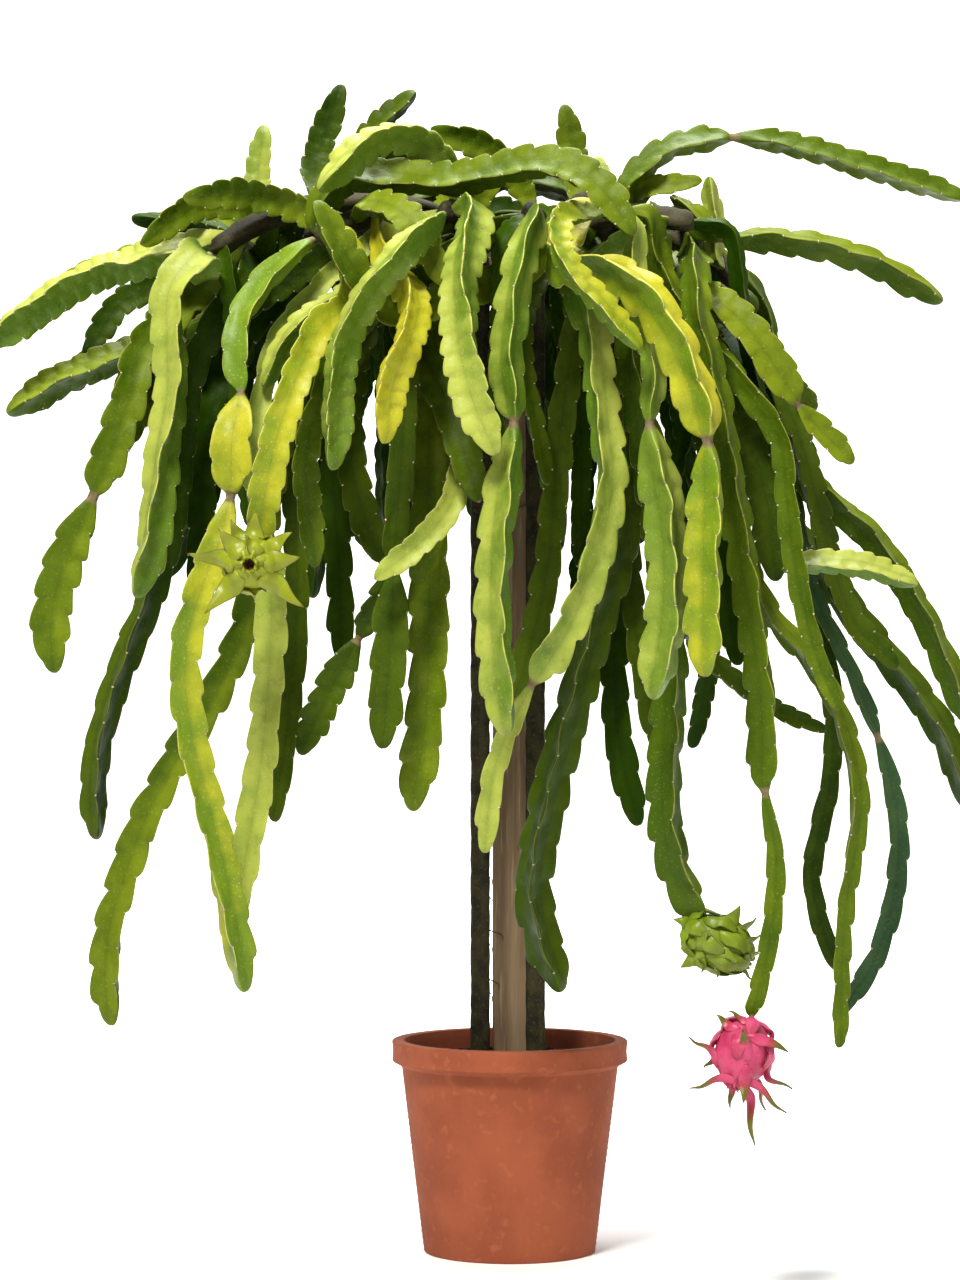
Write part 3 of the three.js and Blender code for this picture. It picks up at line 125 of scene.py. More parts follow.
stems = [
    newStem("top_1", "leaf", [56], 35, [
        (-34, -24, 180.5), (-42, -27, 183.5), (-50, -30, 184.8), (-55.5, -32, 184.3)]),
    newStem("top_2", "lime", [45], 60, [(-44.5, -9, 186), (-43, -10, 195.5)], small=True),
    newStem("top_3", "shade", [40], 10, [
        (-48, -4, 177), (-56, -6, 180), (-64.5, -8, 180.5)], small=True),
    newStem("top_4", "leaf", [50], 60, [
        (-42, -16, 178), (-52, -20, 180.5), (-58, -23, 178.8), (-63, -25, 175)]),
    newStem("top_5", "deep", [50], 60, [
        (-35, -9, 185), (-33, -9, 193), (-29.8, -10, 202.5)], small=True),
    newStem("top_6", "deep", [45], 20, [
        (-30, -2, 187), (-24.5, -2, 196), (-17.5, -3, 201.8)], small=True),
    newStem("top_7", "lime", [60], 30, [
        (-8, -30, 189), (-17, -34, 191), (-26, -36, 188.5), (-31.5, -37, 184.3)]),
    newStem("top_8", "leaf", [60], 20, [
        (-33, -28, 181.5), (-15, -33, 184.6), (-4, -36, 187), (6, -38, 186.6), (15, -40, 183),
        (22.5, -41, 177.5)]),
    newStem("top_9", "leaf", [38], 60, [(-6, -29, 183), (-2, -31, 191.3)], small=True),
    newStem("top_10", "leaf", [52], 40, [
        (4, -17, 187.5), (-2, -19, 191.8), (-7, -20, 194.5), (-12.3, -21, 195.8)]),
    newStem("top_11", "leaf", [50], 60, [(12, -10, 187), (9.8, -11, 199)], small=True),
    newStem("top_12", "leaf", [58], 55, [
        (-21.5, -40, 170), (-24.5, -44, 176), (-29.3, -46, 183)], small=True),
    newStem("top_13", "leaf", [55], 15, [
        (-24, -36, 181.5), (-18, -39, 176.5), (-13, -41, 169.5), (-11, -42, 165)]),
    newStem("top_14", "leaf", [36], 30, [(23, -20, 184.3), (31.5, -22, 184.6)], small=True),
    newStem("top_15", "leaf", [48, 46], 15, [
        (21, -21, 187.5), (29.5, -20, 193.2), (38.9, -18, 194.6), (50, -16, 193.2), (62, -13, 189.6),
        (72, -10, 186.4), (78.5, -8, 184.4)], necks=[2]),
    newStem("top_16", "leaf", [50, 50], 117, [
        (27, -29, 182), (32, -30, 181), (35.8, -30, 176.8), (45, -28, 176.9), (55, -25, 175.7),
        (65, -22, 172.3), (74.5, -20, 166.8)], necks=[2]),
    newStem("top_17", "lime", [42], 0, [(36.5, -22, 173), (35, -22, 186.5)]),
    newStem("top_18", "lime", [32], 60, [(15.5, -15, 190.5)], small=True),
    newStem("top_19", "deep", [46], 40, [(-8, 6, 180.5), (-2, 5, 182.5), (5, 6, 181)], small=True),
    newStem("left_1", "lime", [62], 0, [
        (-52, -17, 173.6), (-61, -19, 173), (-71, -20, 171.3), (-80, -21, 167),
        (-90.5, -22, 159.3)], twist=80),
    newStem("left_2", "lime", [60], 93, [
        (-47.5, -30, 168), (-53, -34, 174.3), (-58, -37, 171.5), (-59.3, -38, 163), (-58.8, -38, 152),
        (-61, -38, 138), (-62.3, -38, 127), (-65, -38, 116)], twist=120),
    newStem("left_3", "leaf", [58], 108, [
        (-52, -8, 160), (-62, -11, 158), (-72, -13, 155), (-80, -14, 151.3), (-86.5, -15, 147.3)]),
    newStem("left_4", "deep", [48], 60, [
        (-56, -2, 170), (-65, -4, 168), (-73.5, -6, 157.3)], small=True),
    newStem("left_5", "leaf", [62, 68], 50, [
        (-55, -20, 166), (-62, -24, 160), (-66, -26, 150), (-69.8, -27, 140), (-72.8, -27, 132),
        (-77, -27, 122.5), (-80, -27, 112), (-79.8, -27, 103)], necks=[4]),
    newStem("left_6", "leaf", [45], 60, [
        (-52, -14, 162), (-60, -18, 155), (-64, -20, 147), (-68.5, -21, 139.5)], small=True),
    newStem("left_7", "deep", [58], 20, [
        (-52, -22, 168), (-56.5, -24, 156), (-58, -24, 142), (-60, -24, 126), (-63.5, -24, 113),
        (-68, -24, 102), (-71.3, -24, 91), (-72.6, -24, 82), (-72.4, -24, 73.3)], twist=-60, taper=0.8),
    newStem("left_8", "deep", [45], 40, [(-50, -15, 168.3), (-58, -17, 164)], small=True),
    newStem("left_9", "shade", [52], 60, [
        (-49.5, -12, 158), (-52.5, -13, 146), (-54, -13, 134), (-53.5, -13, 124),
        (-54, -13, 114.5)], small=True),
    newStem("left_10", "shade", [40], 0, [
        (-45, -4, 158), (-51, -5, 138), (-55, -6, 127.5), (-60, -7, 118.5)], small=True),
    newStem("left_11", "lime", [46], 5, [
        (-26.5, -37, 170), (-33, -40, 167), (-39, -42, 160.5), (-42.5, -43, 152.5)]),
    newStem("left_12", "sun", [46, 68, 54], 60, [
        (-44, -40, 168), (-47.5, -44, 160), (-47, -46, 150), (-48.3, -48, 141), (-48.8, -48, 132),
        (-50.5, -49, 125), (-53.5, -50, 117), (-56.3, -50, 109), (-57, -50, 99), (-56, -50, 90),
        (-53.8, -50, 80), (-51, -50, 69), (-48.8, -50, 58),
        (-46.8, -50, 46.8)], necks=[2, 4], twist=-70),
    newStem("left_13", "lime", [36, 54], 60, [
        (-40, -36, 160), (-43, -40, 151), (-44.3, -41, 141), (-44.4, -41, 129.5), (-42, -41, 119),
        (-41.6, -41, 108), (-42.2, -41, 97), (-43.3, -41, 84), (-45.3, -41, 72),
        (-47.2, -41, 59.5)], necks=[3]),
    newStem("left_14", "leaf", [56], 40, [
        (-38, -28, 150), (-43, -30, 130), (-45.5, -31, 114), (-48.5, -31, 104), (-53.5, -31, 94),
        (-59, -31, 84.5), (-63.5, -31, 75.5), (-67, -31, 65.5), (-69.6, -31, 56), (-70.3, -31, 48),
        (-69.7, -31, 41)], twist=60),
    newStem("left_15", "deep", [42], 60, [
        (-35, -26, 150), (-37.3, -27, 136), (-37.2, -27, 122), (-37.2, -27, 110), (-38, -27, 98),
        (-39.2, -27, 88), (-41, -27, 76.3)], small=True),
    newStem("front_1", "sun", [54], 50, [
        (-23.5, -44, 167.5), (-31.5, -49, 161.5), (-37.5, -52, 151.5), (-41.3, -53, 141),
        (-43.3, -53, 131), (-44, -52, 125.5)], blunt=True),
    newStem("front_2", "leaf", [46], 30, [
        (-30, -38, 160), (-33.3, -40, 150), (-36, -41, 140), (-35.7, -41, 131), (-34.3, -41, 121)]),
    newStem("front_3", "lime", [56], 12, [
        (-28, -49, 160), (-30.3, -50, 152), (-30.8, -50, 145), (-31, -50, 138.3)]),
    newStem("front_4", "sun", [56], 110, [
        (-21, -53, 159), (-22, -54, 151), (-22, -54, 143)], shoulder=170, plant="plant_left"),
    newStem("front_5", "deep", [44, 60], 50, [
        (-15, -36, 170), (-17.5, -40, 155), (-18.8, -41, 140), (-19.8, -41, 128), (-20.3, -41, 119.7),
        (-20.8, -41, 109), (-21.4, -41, 99), (-22, -41, 89.6)], necks=[4]),
    newStem("front_6", "deep", [42, 58], 60, [
        (-22.5, -40, 114.5), (-26.5, -37, 107), (-31, -36, 98.5),
        (-35.9, -36, 88.3)], necks=[1], on="front_5", at=121),
    newStem("front_7", "lime", [44], 30, [
        (-9.5, -37, 141), (-9, -40, 134.5), (-12, -43, 128.5), (-17, -45, 122.5),
        (-22.5, -47, 118.3)], on="front_11", at=147),
    newStem("front_8", "deep", [54], 60, [
        (-26, -24, 165), (-29.5, -28, 152), (-29, -30, 140), (-26.5, -31, 131),
        (-23.2, -32, 122)], small=True),
    newStem("front_9", "shade", [48], 60, [
        (-28, -18, 165), (-31, -22, 148), (-30.6, -24, 132), (-29.6, -25, 118),
        (-29.2, -25, 104.5)], small=True),
    newStem("front_10", "deep", [58], 55, [
        (-17, -34, 172), (-14, -39, 160), (-11, -42, 151), (-8.3, -43, 141),
        (-6, -44, 132.3)], small=True),
    newStem("front_11", "leaf", [66], 60, [
        (-14.8, -32, 158), (-14.4, -34, 145), (-14, -35, 131), (-13.9, -35, 117), (-14, -35, 104),
        (-14.6, -35, 91), (-16.7, -35, 78.8)]),
    newStem("front_12", "lime", [66], 0, [
        (-8.5, -44, 181), (-8.7, -52, 174), (-8, -55, 163), (-6.3, -56, 152),
        (-2.5, -57, 141)], twist=-150),
    newStem("front_13", "lime", [58, 62], 110, [
        (7, -46, 180.5), (3.3, -52, 174.5), (0.8, -55, 165), (-0.8, -56, 155), (0.3, -56, 145),
        (-0.9, -56, 135), (-2, -56, 125), (-2.4, -56, 114), (-1.9, -56, 103),
        (-0.6, -56, 92)], necks=[4], twist=-30),
    newStem("front_14", "sun", [44], 60, [
        (7, -50, 176), (12, -54, 170), (17.5, -56, 163.5), (22, -57, 158.7)]),
    newStem("front_15", "sun", [74, 66], 110, [
        (9, -46, 178.5), (16.5, -50, 174.5), (24, -54, 167.5), (29.5, -56, 158.5), (33, -57, 150),
        (34.6, -57, 141.8), (34.9, -56, 132), (34.5, -56, 122), (34.4, -56, 112),
        (34.3, -56, 102.4)], necks=[5], twist=-40),
    newStem("front_16", "lime", [58, 38], 25, [
        (12, -40, 172), (14.8, -44, 160), (15.5, -46, 149), (17.2, -47, 139), (16.8, -47, 130),
        (14.3, -47, 120.5), (10.8, -47, 110.5), (4, -46, 99.3), (-0.8, -46, 90), (-3.2, -46, 82),
        (-3.8, -46, 76), (-4.2, -46, 70.8)], necks=[7], twist=60),
    newStem("front_17", "deep", [48], 60, [
        (11, -26, 162), (9.4, -29, 148), (8.2, -30, 138), (7.3, -31, 125), (5.6, -31, 113),
        (1.5, -31, 98)], small=True),
    newStem("front_18", "deep", [66], 12, [
        (24, -26, 162), (22, -28, 145), (20.3, -28, 131), (17.8, -28, 119), (14.6, -28, 109),
        (11.8, -28, 98.5), (9, -28, 88), (6.2, -28, 77), (4.3, -28, 67), (4.6, -28, 58),
        (8.3, -28, 47)], twist=-10),
    newStem("front_19", "deep", [34], 30, [
        (2, -32, 160), (3.8, -34, 147), (6.3, -36, 135)], small=True, plant="plant_front"),
    newStem("front_20", "lime", [40, 72], 118, [
        (21, -48, 168), (24.5, -51, 158), (25.3, -52, 151), (24.5, -52, 144.8), (26.2, -52, 136),
        (27.9, -52, 127), (28.3, -52, 117), (27.6, -52, 108), (25.6, -52, 98.5)], necks=[3], twist=-30),
    newStem("front_21", "leaf", [54, 33], 106, [
        (30, -40, 167), (35, -44, 153), (38.2, -45, 139), (40.5, -46, 125), (42.5, -46, 112.5),
        (44, -46, 102), (44.8, -46, 90), (44.7, -46, 80.3), (46.8, -46, 70), (46.5, -46, 60),
        (45, -46, 50.5), (42.8, -46, 42.5)], necks=[7], blunt=True, twist=-40),
    newStem("front_22", "leaf", [62], 114, [
        (22, -34, 158), (26, -38, 130), (28, -38, 113), (28.3, -38, 98), (27.7, -38, 86),
        (27.8, -38, 75), (29.5, -38, 66), (32.6, -38, 59.6)], blunt=True, twist=-20),
    newStem("right_1", "leaf", [52], 98, [
        (28, -36, 173), (34.6, -40, 161.5), (42, -42, 151), (47.2, -42, 143.5), (48.7, -42, 133),
        (49.8, -42, 122), (51.6, -42, 112), (54, -42, 103), (57, -42, 95.5)], twist=-80, taper=0.6),
    newStem("right_2", "leaf", [62, 44], 25, [
        (33, -27, 169), (38.5, -33, 163), (44.6, -36, 155.5), (50.3, -36, 147.8), (54.5, -35, 143),
        (59, -35, 138.6)], necks=[3]),
    newStem("right_3", "deep", [66], 60, [
        (34, -28, 164), (38.5, -32, 151), (42.5, -33, 140), (45.3, -33, 130), (46.5, -33, 119)]),
    newStem("right_4", "deep", [46], 30, [
        (42, -14, 162), (48, -17, 149), (51.2, -18, 139), (53.4, -18, 130), (55.5, -18, 121),
        (58.5, -18, 112), (62.2, -18, 106), (66.6, -18, 102.6)]),
    newStem("right_5", "leaf", [50], 108, [
        (43, -8, 156), (47, -10, 141), (53, -11, 133), (59.5, -12, 129), (66, -12, 121.5),
        (71.7, -12, 112.5), (76.2, -12, 103.5), (79.8, -12, 93.5)]),
    newStem("right_6", "deep", [54], 114, [
        (40, -4, 152), (47, -5, 132), (53.5, -6, 121), (59.5, -6, 112.5), (66, -6, 104), (72.5, -6, 96),
        (77.2, -6, 87.5), (80, -6, 78.5)]),
    newStem("right_7", "lime", [46], 10, [
        (53, -35, 120.3), (61, -35, 119.8), (70, -35, 117)], on="right_3", at=121),
    newStem("right_8", "leaf", [50], 10, [
        (36, -26, 152), (40, -30, 126), (44.5, -33, 112.5), (49, -34, 107.5), (54.2, -34, 100.5),
        (58.6, -34, 91), (60.9, -34, 81), (60.2, -34, 71), (58.5, -34, 60), (57.8, -34, 49),
        (57.7, -34, 36.5)], twist=50, taper=0.6),
    newStem("right_9", "deep", [34], 45, [
        (46, -8, 145), (51, -12, 120), (55.5, -14, 103), (56.4, -14, 90), (55.8, -14, 81),
        (53.8, -14, 72), (52.8, -14, 66), (54, -14, 58.5), (57, -14, 50)]),
    newStem("right_10", "blue", [30, 36], 40, [
        (44, -14, 148), (53, -17, 115.5), (57.8, -18, 105.5), (61.3, -18, 97.8), (64.4, -18, 90),
        (66.8, -18, 80.5), (68, -18, 71), (66.8, -18, 60.5), (63.8, -18, 51),
        (58.6, -18, 42.6)], necks=[4]),
    newStem("right_11", "deep", [44], 25, [
        (37, -32, 101), (43, -29, 96.8), (49, -27, 93),
        (54.3, -26, 91.2)], taper=0.7, on="front_22", at=116),
    newStem("right_12", "shade", [36], 60, [
        (34.6, -26, 106), (33.5, -22, 96), (32, -20, 89)], on="front_22", at=124),
    newStem("right_13", "shade", [50], 60, [
        (19.5, -15, 140), (18.6, -17, 114), (18.4, -17, 100), (19.2, -17, 90), (20.7, -17, 82),
        (22.3, -17, 75.8)], small=True, plant="plant_front"),
    newStem("right_14", "deep", [44], 40, [
        (19, -20, 158), (20.5, -22, 120), (22, -22, 107), (24, -22, 97),
        (25.6, -22, 88.5)], small=True, plant="plant_front"),
    newStem("right_15", "shade", [48], 60, [
        (34, -18, 145), (36.5, -22, 127), (38.5, -23, 113),
        (39.8, -23, 103.8)], small=True, plant="plant_front"),
    newStem("right_16", "leaf", [38], 60, [(52.8, -32, 147.8)], on="right_2", at=154),
    newStem("right_17", "shade", [36], 60, [
        (13, -13, 145), (12.5, -15, 130), (13.5, -15, 117)], small=True, plant="plant_front"),
]

# Stems at the back of the crown, each like a stem in front: the name, the depth, how much is kept, and
# the plant, where it isn't simply the nearest.
farStems = [
    ("left_2", 30, 0.85), ("left_5", 24, 0.95), ("left_12", 40, 0.5), ("left_3", 8, 1),
    ("left_7", 6, 0.8), ("left_1", 10, 1), ("front_1", 46, 0.95), ("front_3", 42, 1),
    ("front_5", 48, 0.9), ("front_8", 34, 1), ("front_10", 22, 1), ("front_11", 50, 0.9),
    ("front_12", 44, 1), ("front_13", 52, 0.9), ("front_15", 46, 1), ("front_16", 50, 0.55),
    ("front_17", 20, 1, "plant_right"), ("front_20", 42, 0.95), ("front_21", 44, 0.7),
    ("right_1", 34, 0.8), ("right_2", 22, 0.95), ("right_3", 16, 1), ("right_4", 6, 1),
    ("right_5", 14, 0.9), ("top_1", 14, 1), ("top_7", 4, 1), ("top_8", 26, 1), ("top_8", 11, 1),
    ("top_16", 22, 0.8),
]

# The climbing plants: where each foot stands, and the lines of its old branches, in centimetres.
plants = [
    {"name": "plant_front", "foot": (4.8, -4.8), "branches": [
        [(4.8, -4.8, 170), (4, -20, 178), (3, -40, 176.5)],
        [(4.8, -4.8, 172), (11, -22, 180), (19, -42, 176.5)],
        [(4.8, -4.8, 171), (16, -17, 178.5), (30, -34, 176)],
        [(4.8, -4.8, 172), (19, -11, 177.5), (31, -16, 174), (39, -21, 166.5)],
    ]},
    {"name": "plant_right", "foot": (4.8, 4.8), "branches": [
        [(4.8, 4.8, 170), (8, 5.4, 177), (17, 2, 178.8), (28, -3, 176.8), (36, -7, 168.5)],
        [(4.8, 4.8, 172), (20, 11, 180), (38, 14, 176)],
        [(4.8, 4.8, 171), (12, 18, 178.5), (18, 38, 175.5)],
    ]},
    {"name": "plant_back", "foot": (-4.8, 4.8), "branches": [
        [(-4.8, 4.8, 170), (-4, 20, 180), (-2, 40, 176)],
        [(-4.8, 4.8, 172), (-12, 18, 180), (-22, 34, 176.5)],
        [(-4.8, 4.8, 171), (-19, 10, 178.5), (-36, 14, 176)],
    ]},
    {"name": "plant_left", "foot": (-4.8, -4.8), "branches": [
        [(-4.8, -4.8, 170), (-18, -6, 178.5), (-33, -7, 178), (-46, -9, 172.5)],
        [(-4.8, -4.8, 172), (-14, -16, 180), (-23, -29, 178), (-32, -38, 173)],
        [(-4.8, -4.8, 171), (-8, -19, 178.5), (-11, -42, 176.5)],
        [(-4.8, -4.8, 173), (-22, -14, 181), (-39, -21, 179), (-50, -27, 172)],
    ]},
]

# The fruits, in millimetres: from the stem's tip to the middle, the way it points, and each leafy
# scale's root and point from the middle.
fruits = [
    {"name": "fruit_red", "on": "front_21", "tone": "red", "radius": 45, "half": 55, "mouth": 10,
     "toMiddle": (-20, -25, -70), "axis": (-0.25, -0.35, -0.9), "scales": [
        ((-3, -10, 53), (-23, -5, 66)), ((-22, -10, 40), (-44, -5, 61)),
        ((-42, -10, -2), (-88, -15, 26)), ((-42, 10, -12), (-63, 10, -27)),
        ((-28, -25, -38), (-88, -30, -55)), ((-18, 0, -47), (-20, 10, -92)),
        ((-3, -20, -50), (17, -35, -147)), ((8, -28, -46), (67, -45, -93)),
        ((35, -5, -30), (79, -10, -59)), ((22, -35, 25), (72, -25, 2)),
        ((0, -44, 12), (-5, -60, 43)), ((0, -34, -32), (-3, -50, -77)),
        ((-10, 42, 10), (-30, 60, 20)), ((0, 38, -30), (0, 70, -60)),
        ((14, 18, -45), (40, 40, -100))]},
    {"name": "fruit_green_front", "on": "front_1", "tone": "unripe", "radius": 40, "half": 45, "mouth": 11,
     "toMiddle": (-6, -62, -51), "axis": (-0.05, -1, -0.05), "scales": [
        ((-32, -14, 2), (-101, -28, 16)), ((-22, -24, 20), (-51, -32, 56)),
        ((-18, -8, 34), (-33, -8, 71)), ((2, -14, 36), (7, -18, 84)),
        ((26, -14, 24), (65, -20, 50)), ((30, -20, 2), (78, -30, 10)),
        ((26, -18, -26), (84, -26, -70)), ((-26, -18, -28), (-74, -26, -80)),
        ((0, -30, 24), (-8, -52, 44)), ((-28, 22, -14), (-50, 40, -30)),
        ((0, 26, -28), (0, 50, -55))]},
    {"name": "fruit_green_low", "on": "front_22", "tone": "unripe", "radius": 40, "half": 58, "mouth": 9,
     "toMiddle": (33, -13, -54), "axis": (0.86, -0.1, -0.5), "scales": [
        ((-40, 0, 26), (-72, 0, 38)), ((-36, -14, -2), (-60, -15, -10)),
        ((-30, -14, -20), (-60, -10, -40)), ((20, -14, 30), (38, -12, 63)),
        ((36, -4, 16), (65, 0, 42)), ((40, -16, 2), (70, -20, 15)), ((42, -14, -16), (76, -18, -8)),
        ((30, -2, -34), (58, 0, -60)), ((0, -12, -34), (0, -16, -56)),
        ((-18, -18, -28), (-25, -24, -47)), ((-20, -32, 8), (-14, -48, 24)),
        ((14, -32, -16), (34, -46, -28)), ((-8, 34, 12), (8, 52, 22))]},
]


def truePlace(point):  # a point as it looks from the front, brought to its true place
    x, y, z = point
    k = 1 + y / view["distance"]
    return 10 * np.array([view["x"] + (x - view["x"]) * k, y, view["z"] + (z - view["z"]) * k])


def widthAt(entry, runs):  # wing radius without notches, how far the wings are open, and growth, at each run
    s = stemShape
    starts = [g["start"] for g in entry["growths"]]
    part = np.clip(np.searchsorted(starts, runs - 1e-6, side="right") - 1, 0, len(starts) - 1)
    pick = {k: np.array([g[k] for g in entry["growths"]])[part] for k in entry["growths"][0]}
    along = np.clip(runs - pick["start"], 0, pick["whole"])
    end = pick["endShare"] + (1 - pick["endShare"]) * swell((pick["whole"] - along) / pick["ending"])
    grow = swell(along / pick["shoulder"]) * end
    full = pick["full"] * (1 - (1 - pick["taper"]) * along / pick["whole"])
    return s["neckRadius"] + (full - s["neckRadius"]) * grow, np.minimum(1, grow * s["opening"]), grow


def layOut(stem, control, leadIn):  # the stations of a stem, two to a lobe
    s = stemShape
    line = smoothLine(control, s["steps"])
    cuts = [0] + [(k + leadIn) * s["steps"] for k in stem.get("necks", [])] + [len(line) - 1]
    small = stem.get("small", False)
    lobe = s["farLobe"] if "share" in stem else s["smallLobe"] if small else s["lobe"]
    entry = {"stem": stem, "growths": []}
    places, runs, start = [], [], 0.0
    for part, width in enumerate(stem["widths"]):
        piece = line[cuts[part]:cuts[part + 1] + 1]
        whole = runOf(piece)[-1]
        rooted = s["root"] if part == 0 and not small else 0
        count = 2 * max(1, nearest((whole - rooted) / lobe))
        distances = [0, rooted / 2] if rooted else []
        first = 0 if part == 0 else 1
        distances += [rooted + (whole - rooted) * i / count for i in range(first, count + 1)]
        last = part == len(stem["widths"]) - 1
        tipShare = s["bluntShare"] if stem.get("blunt") else s["tipShare"]
        entry["growths"].append({
            "start": start, "whole": whole, "full": width / s["seenWidth"], "taper": stem.get("taper", 1),
            "shoulder": min(stem.get("shoulder", s["shoulder"]), s["shoulderShare"] * whole),
            "ending": min(s["tip"] if last else s["neck"], s["endShare"] * whole),
            "endShare": tipShare if last else 0,
        })
        places.append(placesAt(piece, distances))
        runs += [start + d for d in distances]
        start += whole
    entry["p"], entry["run"] = np.vstack(places), np.array(runs)
    radius, opened = widthAt(entry, entry["run"])[:2]
    even = np.arange(len(runs)) % 2 == 0
    entry["radius"] = radius * np.where(even, 1 - s["notch"] * opened, 1)
    return entry


# Points inside the post, the arms and the old wood, which the stems keep clear of.
armMiddle = post["top"] + post["seat"] + arm["side"] / 2
fixedPlaces, fixedRadii, fixedWood = [], [], []


def keepOff(places, radius, isWood=False):
    for p in places:
        fixedPlaces.append(p)
        fixedRadii.append(radius)
        fixedWood.append(isWood)


def climbLine(plant):
    x, y = 10 * plant["foot"][0], 10 * plant["foot"][1]
    return np.array([(x, y, climb["foot"]), (x, y, climb["top"])], float)


def branchLine(branch):
    return smoothLine(10 * np.array(branch, float), stemShape["steps"])


keepOff([(0, 0, z) for z in np.arange(pot["height"], post["top"], keepClear["postStep"])],
        post["side"] * keepClear["square"])
for reach in np.arange(-arm["length"] / 2, arm["length"] / 2 + 1, keepClear["armStep"]):
    keepOff([(reach, 0, armMiddle), (0, reach, armMiddle)], arm["side"] * keepClear["square"])
for plant in plants:
    keepOff(evenly(climbLine(plant), keepClear["climbSteps"]), climb["radius"])
    for branch in plant["branches"]:
        keepOff(evenly(branchLine(branch), keepClear["branchSteps"]), wood["radius"], True)
fixedPlaces, fixedRadii, fixedWood = np.array(fixedPlaces), np.array(fixedRadii), np.array(fixedWood)

# Buds on the old wood, where the hanging stems grow, in pairs along each branch and one at its end.
budPlaces, budOuts, budPlants = [], [], []
for plant in plants:
    for branch in plant["branches"]:
        line = branchLine(branch)
        points = evenly(line, nearest(runOf(line)[-1] / budding["spacing"]))
        last = len(points) - 1
        for i in range(budding["first"], last):
            ahead = unit(points[i + 1] - points[i - 1])
            side = unit(np.cross(ahead, (0, 0, 1)))
            up = np.cross(side, ahead)
            for lean in budding["leans"]:
                angle = math.radians(lean + (i % 2) * budding["stagger"])
                budPlaces.append(points[i])
                budOuts.append(side * math.sin(angle) + up * math.cos(angle))
                budPlants.append(plant["name"])
        budPlaces.append(points[last])
        budOuts.append(unit(points[last] - points[last - 1]))
        budPlants.append(plant["name"])
budPlaces, budOuts = np.array(budPlaces), np.array(budOuts)
budFree = np.ones(len(budPlaces), bool)


def takeBud(start, clear, plantName):  # the best free bud, and those that it crowds are used up with it
    leaving = budPlaces + budOuts * budding["reach"]
    line = start - leaving
    turned = 1 + budding["facing"] * (1 - (unit(line) * budOuts).sum(1))
    cost = np.linalg.norm(line, axis=1) * turned
    for share in budding["looks"]:
        probe = leaving + line * share
        apart = np.linalg.norm(probe[:, None] - fixedPlaces[None], axis=2)
        cost += budding["blocked"] * (apart < fixedRadii + stemShape["neckRadius"]).any(1)
    mine = np.array([plantName is None or name == plantName for name in budPlants])
    cost[~(budFree & mine)] = np.inf
    best = int(np.argmin(cost))
    surface = budPlaces + budOuts * wood["radius"]
    budFree[np.linalg.norm(surface - surface[best], axis=1) <= clear] = False
    return best


allStems = list(stems)
for like, depth, share, *onPlant in farStems:
    near = next(s for s in stems if s["name"] == like)
    front = near["points"][-1][1]
    points = [(x, depth + stemShape["farDepth"] * (front - y), z) for x, y, z in near["points"]]
    far = {**near, "name": f"far_{like}_{depth}", "small": True, "blunt": False, "points": points}
    allStems.append({**far, "share": share, "plant": onPlant[0] if onPlant else None})

laid = {}
onWood = [s for s in allStems if "on" not in s]
for stem in [s for s in onWood if not s.get("small")] + [s for s in onWood if s.get("small")]:
    small = stem.get("small", False)
    points = [truePlace(p) for p in stem["points"]]
    bud = takeBud(points[0], budding["smallClear"] if small else budding["clear"], stem.get("plant"))
    place, out = budPlaces[bud], budOuts[bud]
    root = place + out * (0 if small else budding["seatOut"])
    towards = unit(points[0] - place)
    wayOut = place + unit(out + towards * budding["slant"]) * budding["wayOut"]
    skipped = 1 if len(points) > 2 and np.linalg.norm(points[0] - wayOut) < budding["skip"] else 0
    entry = layOut(stem, [root, wayOut, *points[skipped:]], 2 - skipped)
    entry.update(plant=budPlants[bud], root=place)
    laid[stem["name"]] = entry
for stem in [s for s in stems if "on" in s]:
    host = laid[stem["on"]]
    height = truePlace((0, stem["points"][0][1], stem["at"]))[2]
    at = int(np.argmin(np.abs(host["p"][:, 2] - height)))
    entry = layOut(stem, [host["p"][at], *[truePlace(p) for p in stem["points"]]], 1)
    entry.update(host=stem["on"], hostStation=at)
    laid[stem["name"]] = entry
for entry in laid.values():
    share = entry["stem"].get("share", 1)
    if share < 1:
        keep = 2 * nearest((len(entry["run"]) - 1) / 2 * share) + 1
        for name in ("p", "run", "radius"):
            entry[name] = entry[name][:keep]
        entry["radius"][-2:] *= stemShape["farTips"]
        entry["trimmed"] = True


